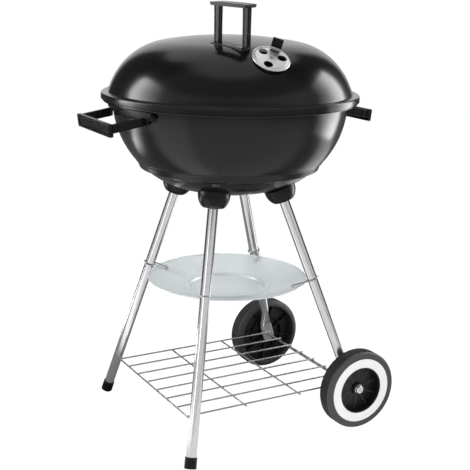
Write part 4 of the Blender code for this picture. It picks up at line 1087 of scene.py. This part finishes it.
def make_floor():
    """A pale floor, white to the camera. Its glow on the grill comes from in front, as from cards there."""
    bm = bmesh.new()
    bmesh.ops.create_grid(bm, x_segments=1, y_segments=1, size=12.0)
    floor = raw("floor", bm)
    shade = Shader("pale_floor", (0.14, 0.14, 0.14), 0.8, Specular_IOR_Level=0.0, Emission_Color=WHITE)
    shade.tint((3,), 0.99, 1.01)
    tree = shade.tree
    g = Graph(tree)

    def along(degrees):
        """How far a point lies in a direction, in degrees from the camera's, to the right."""
        return g.vector("DOT_PRODUCT", shade.coords, polar(1.0, VIEW_TURN + math.radians(degrees)))

    radius = g.math("MAXIMUM", g.vector("LENGTH", shade.coords), 0.001)
    ahead, aside = along(0), along(-90)
    left, facing = g.math("DIVIDE", along(-60), radius), g.math("DIVIDE", ahead, radius)
    cards = g.add(0.05, g.step(facing, 0.0, 0.40, 0.0, 0.58))
    cards = g.add(cards, g.step(left, 0.90, 0.97, 0.0, 0.40))
    cards = g.times(cards, g.step(radius, 1.0, 4.0, 1.0, 0.3))
    # the floor's own shine of the side boxes, to the left and to the right behind the grill
    patch = g.times(g.step(aside, 0.60, 1.0, 0.0, 6.0), g.step(ahead, -0.10, -0.50))
    cards = g.add(cards, g.times(patch, g.step(ahead, -0.55, -0.51)))
    patch = g.times(g.step(aside, -0.25, -0.40, 0.0, 1.1), g.step(ahead, -0.20, -0.40))
    cards = g.add(cards, g.times(patch, g.step(ahead, -1.02, -0.94)))
    seen = g.camera_ray()
    shade.set(Emission_Strength=g.add(g.times(seen, 0.94), g.times(g.math("SUBTRACT", 1.0, seen), cards)))
    white = tree.nodes.new("ShaderNodeEmission")
    g.mix_to("Material Output", g.times(seen, g.step(radius, 0.5, 1.3)), shade.bsdf.outputs["BSDF"],
             white.outputs["Emission"])
    floor.data.materials.append(shade.mat)


def make_camera():
    data = bpy.data.cameras.new("camera")
    data.sensor_width = 36.0
    data.lens = 76.08
    data.shift_x = 0.0009
    camera = bpy.data.objects.new("camera", data)
    bpy.context.scene.collection.objects.link(camera)
    position, target, roll = (-0.8278, -1.4905, 0.7836), (0.0, -0.0248, 0.3408), 1.1646
    camera.matrix_world = look_at(position, target, roll)
    bpy.context.scene.camera = camera
    view = bpy.context.scene.view_settings
    view.view_transform = "Standard"
    view.look = "None"
    view.exposure = 0.0


def shine_on_tubes(boxes, strip):
    """The bright side boxes pass the chrome tubes by, and a narrow strip of light is theirs alone."""
    groups = {name: bpy.data.collections.new(name) for name in ("not_tubes", "only_tubes")}
    for obj in [o for o in bpy.context.scene.objects if o.name.startswith("tube_") and o.type == "MESH"]:
        for group in groups.values():
            group.objects.link(obj)
    for member in groups["not_tubes"].collection_objects:
        member.light_linking.link_state = "EXCLUDE"
    for box_light in boxes:
        box_light.light_linking.receiver_collection = groups["not_tubes"]
    strip.light_linking.receiver_collection = groups["only_tubes"]


make_floor()
make_world()
make_camera()
side_boxes = [
    panel("left_box", -85, 0.95, 1.2, (0.75, 0.94), 11.5, ((0, 1), (0.35, 0.7), (0.65, 0.3), (1, 0.05))),
    panel("left_low_box", -90, 0.25, 1.2, (0.8, 0.46), 0.35, ((0, 1), (1, 0.8))),
    panel("right_box", 106, 0.7, 1.2, (0.82, 1.36), 6.8, ((0, 0.1), (0.3, 0.35), (0.6, 0.95), (1, 1)))]
shine_on_tubes(side_boxes, panel("tube_strip", -36, 0.75, 1.4, (0.26, 1.5), 1.7))
panel("front_fill", 8, 0.9, 3.2, (2.0, 1.6), 3.8, target=(0, 0, 0.3), glossy=False)
panel("top_fill", 180, 3.2, 0.8, (2.6, 2.6), 1.2, target=(0, 0, 0.3), glossy=False)
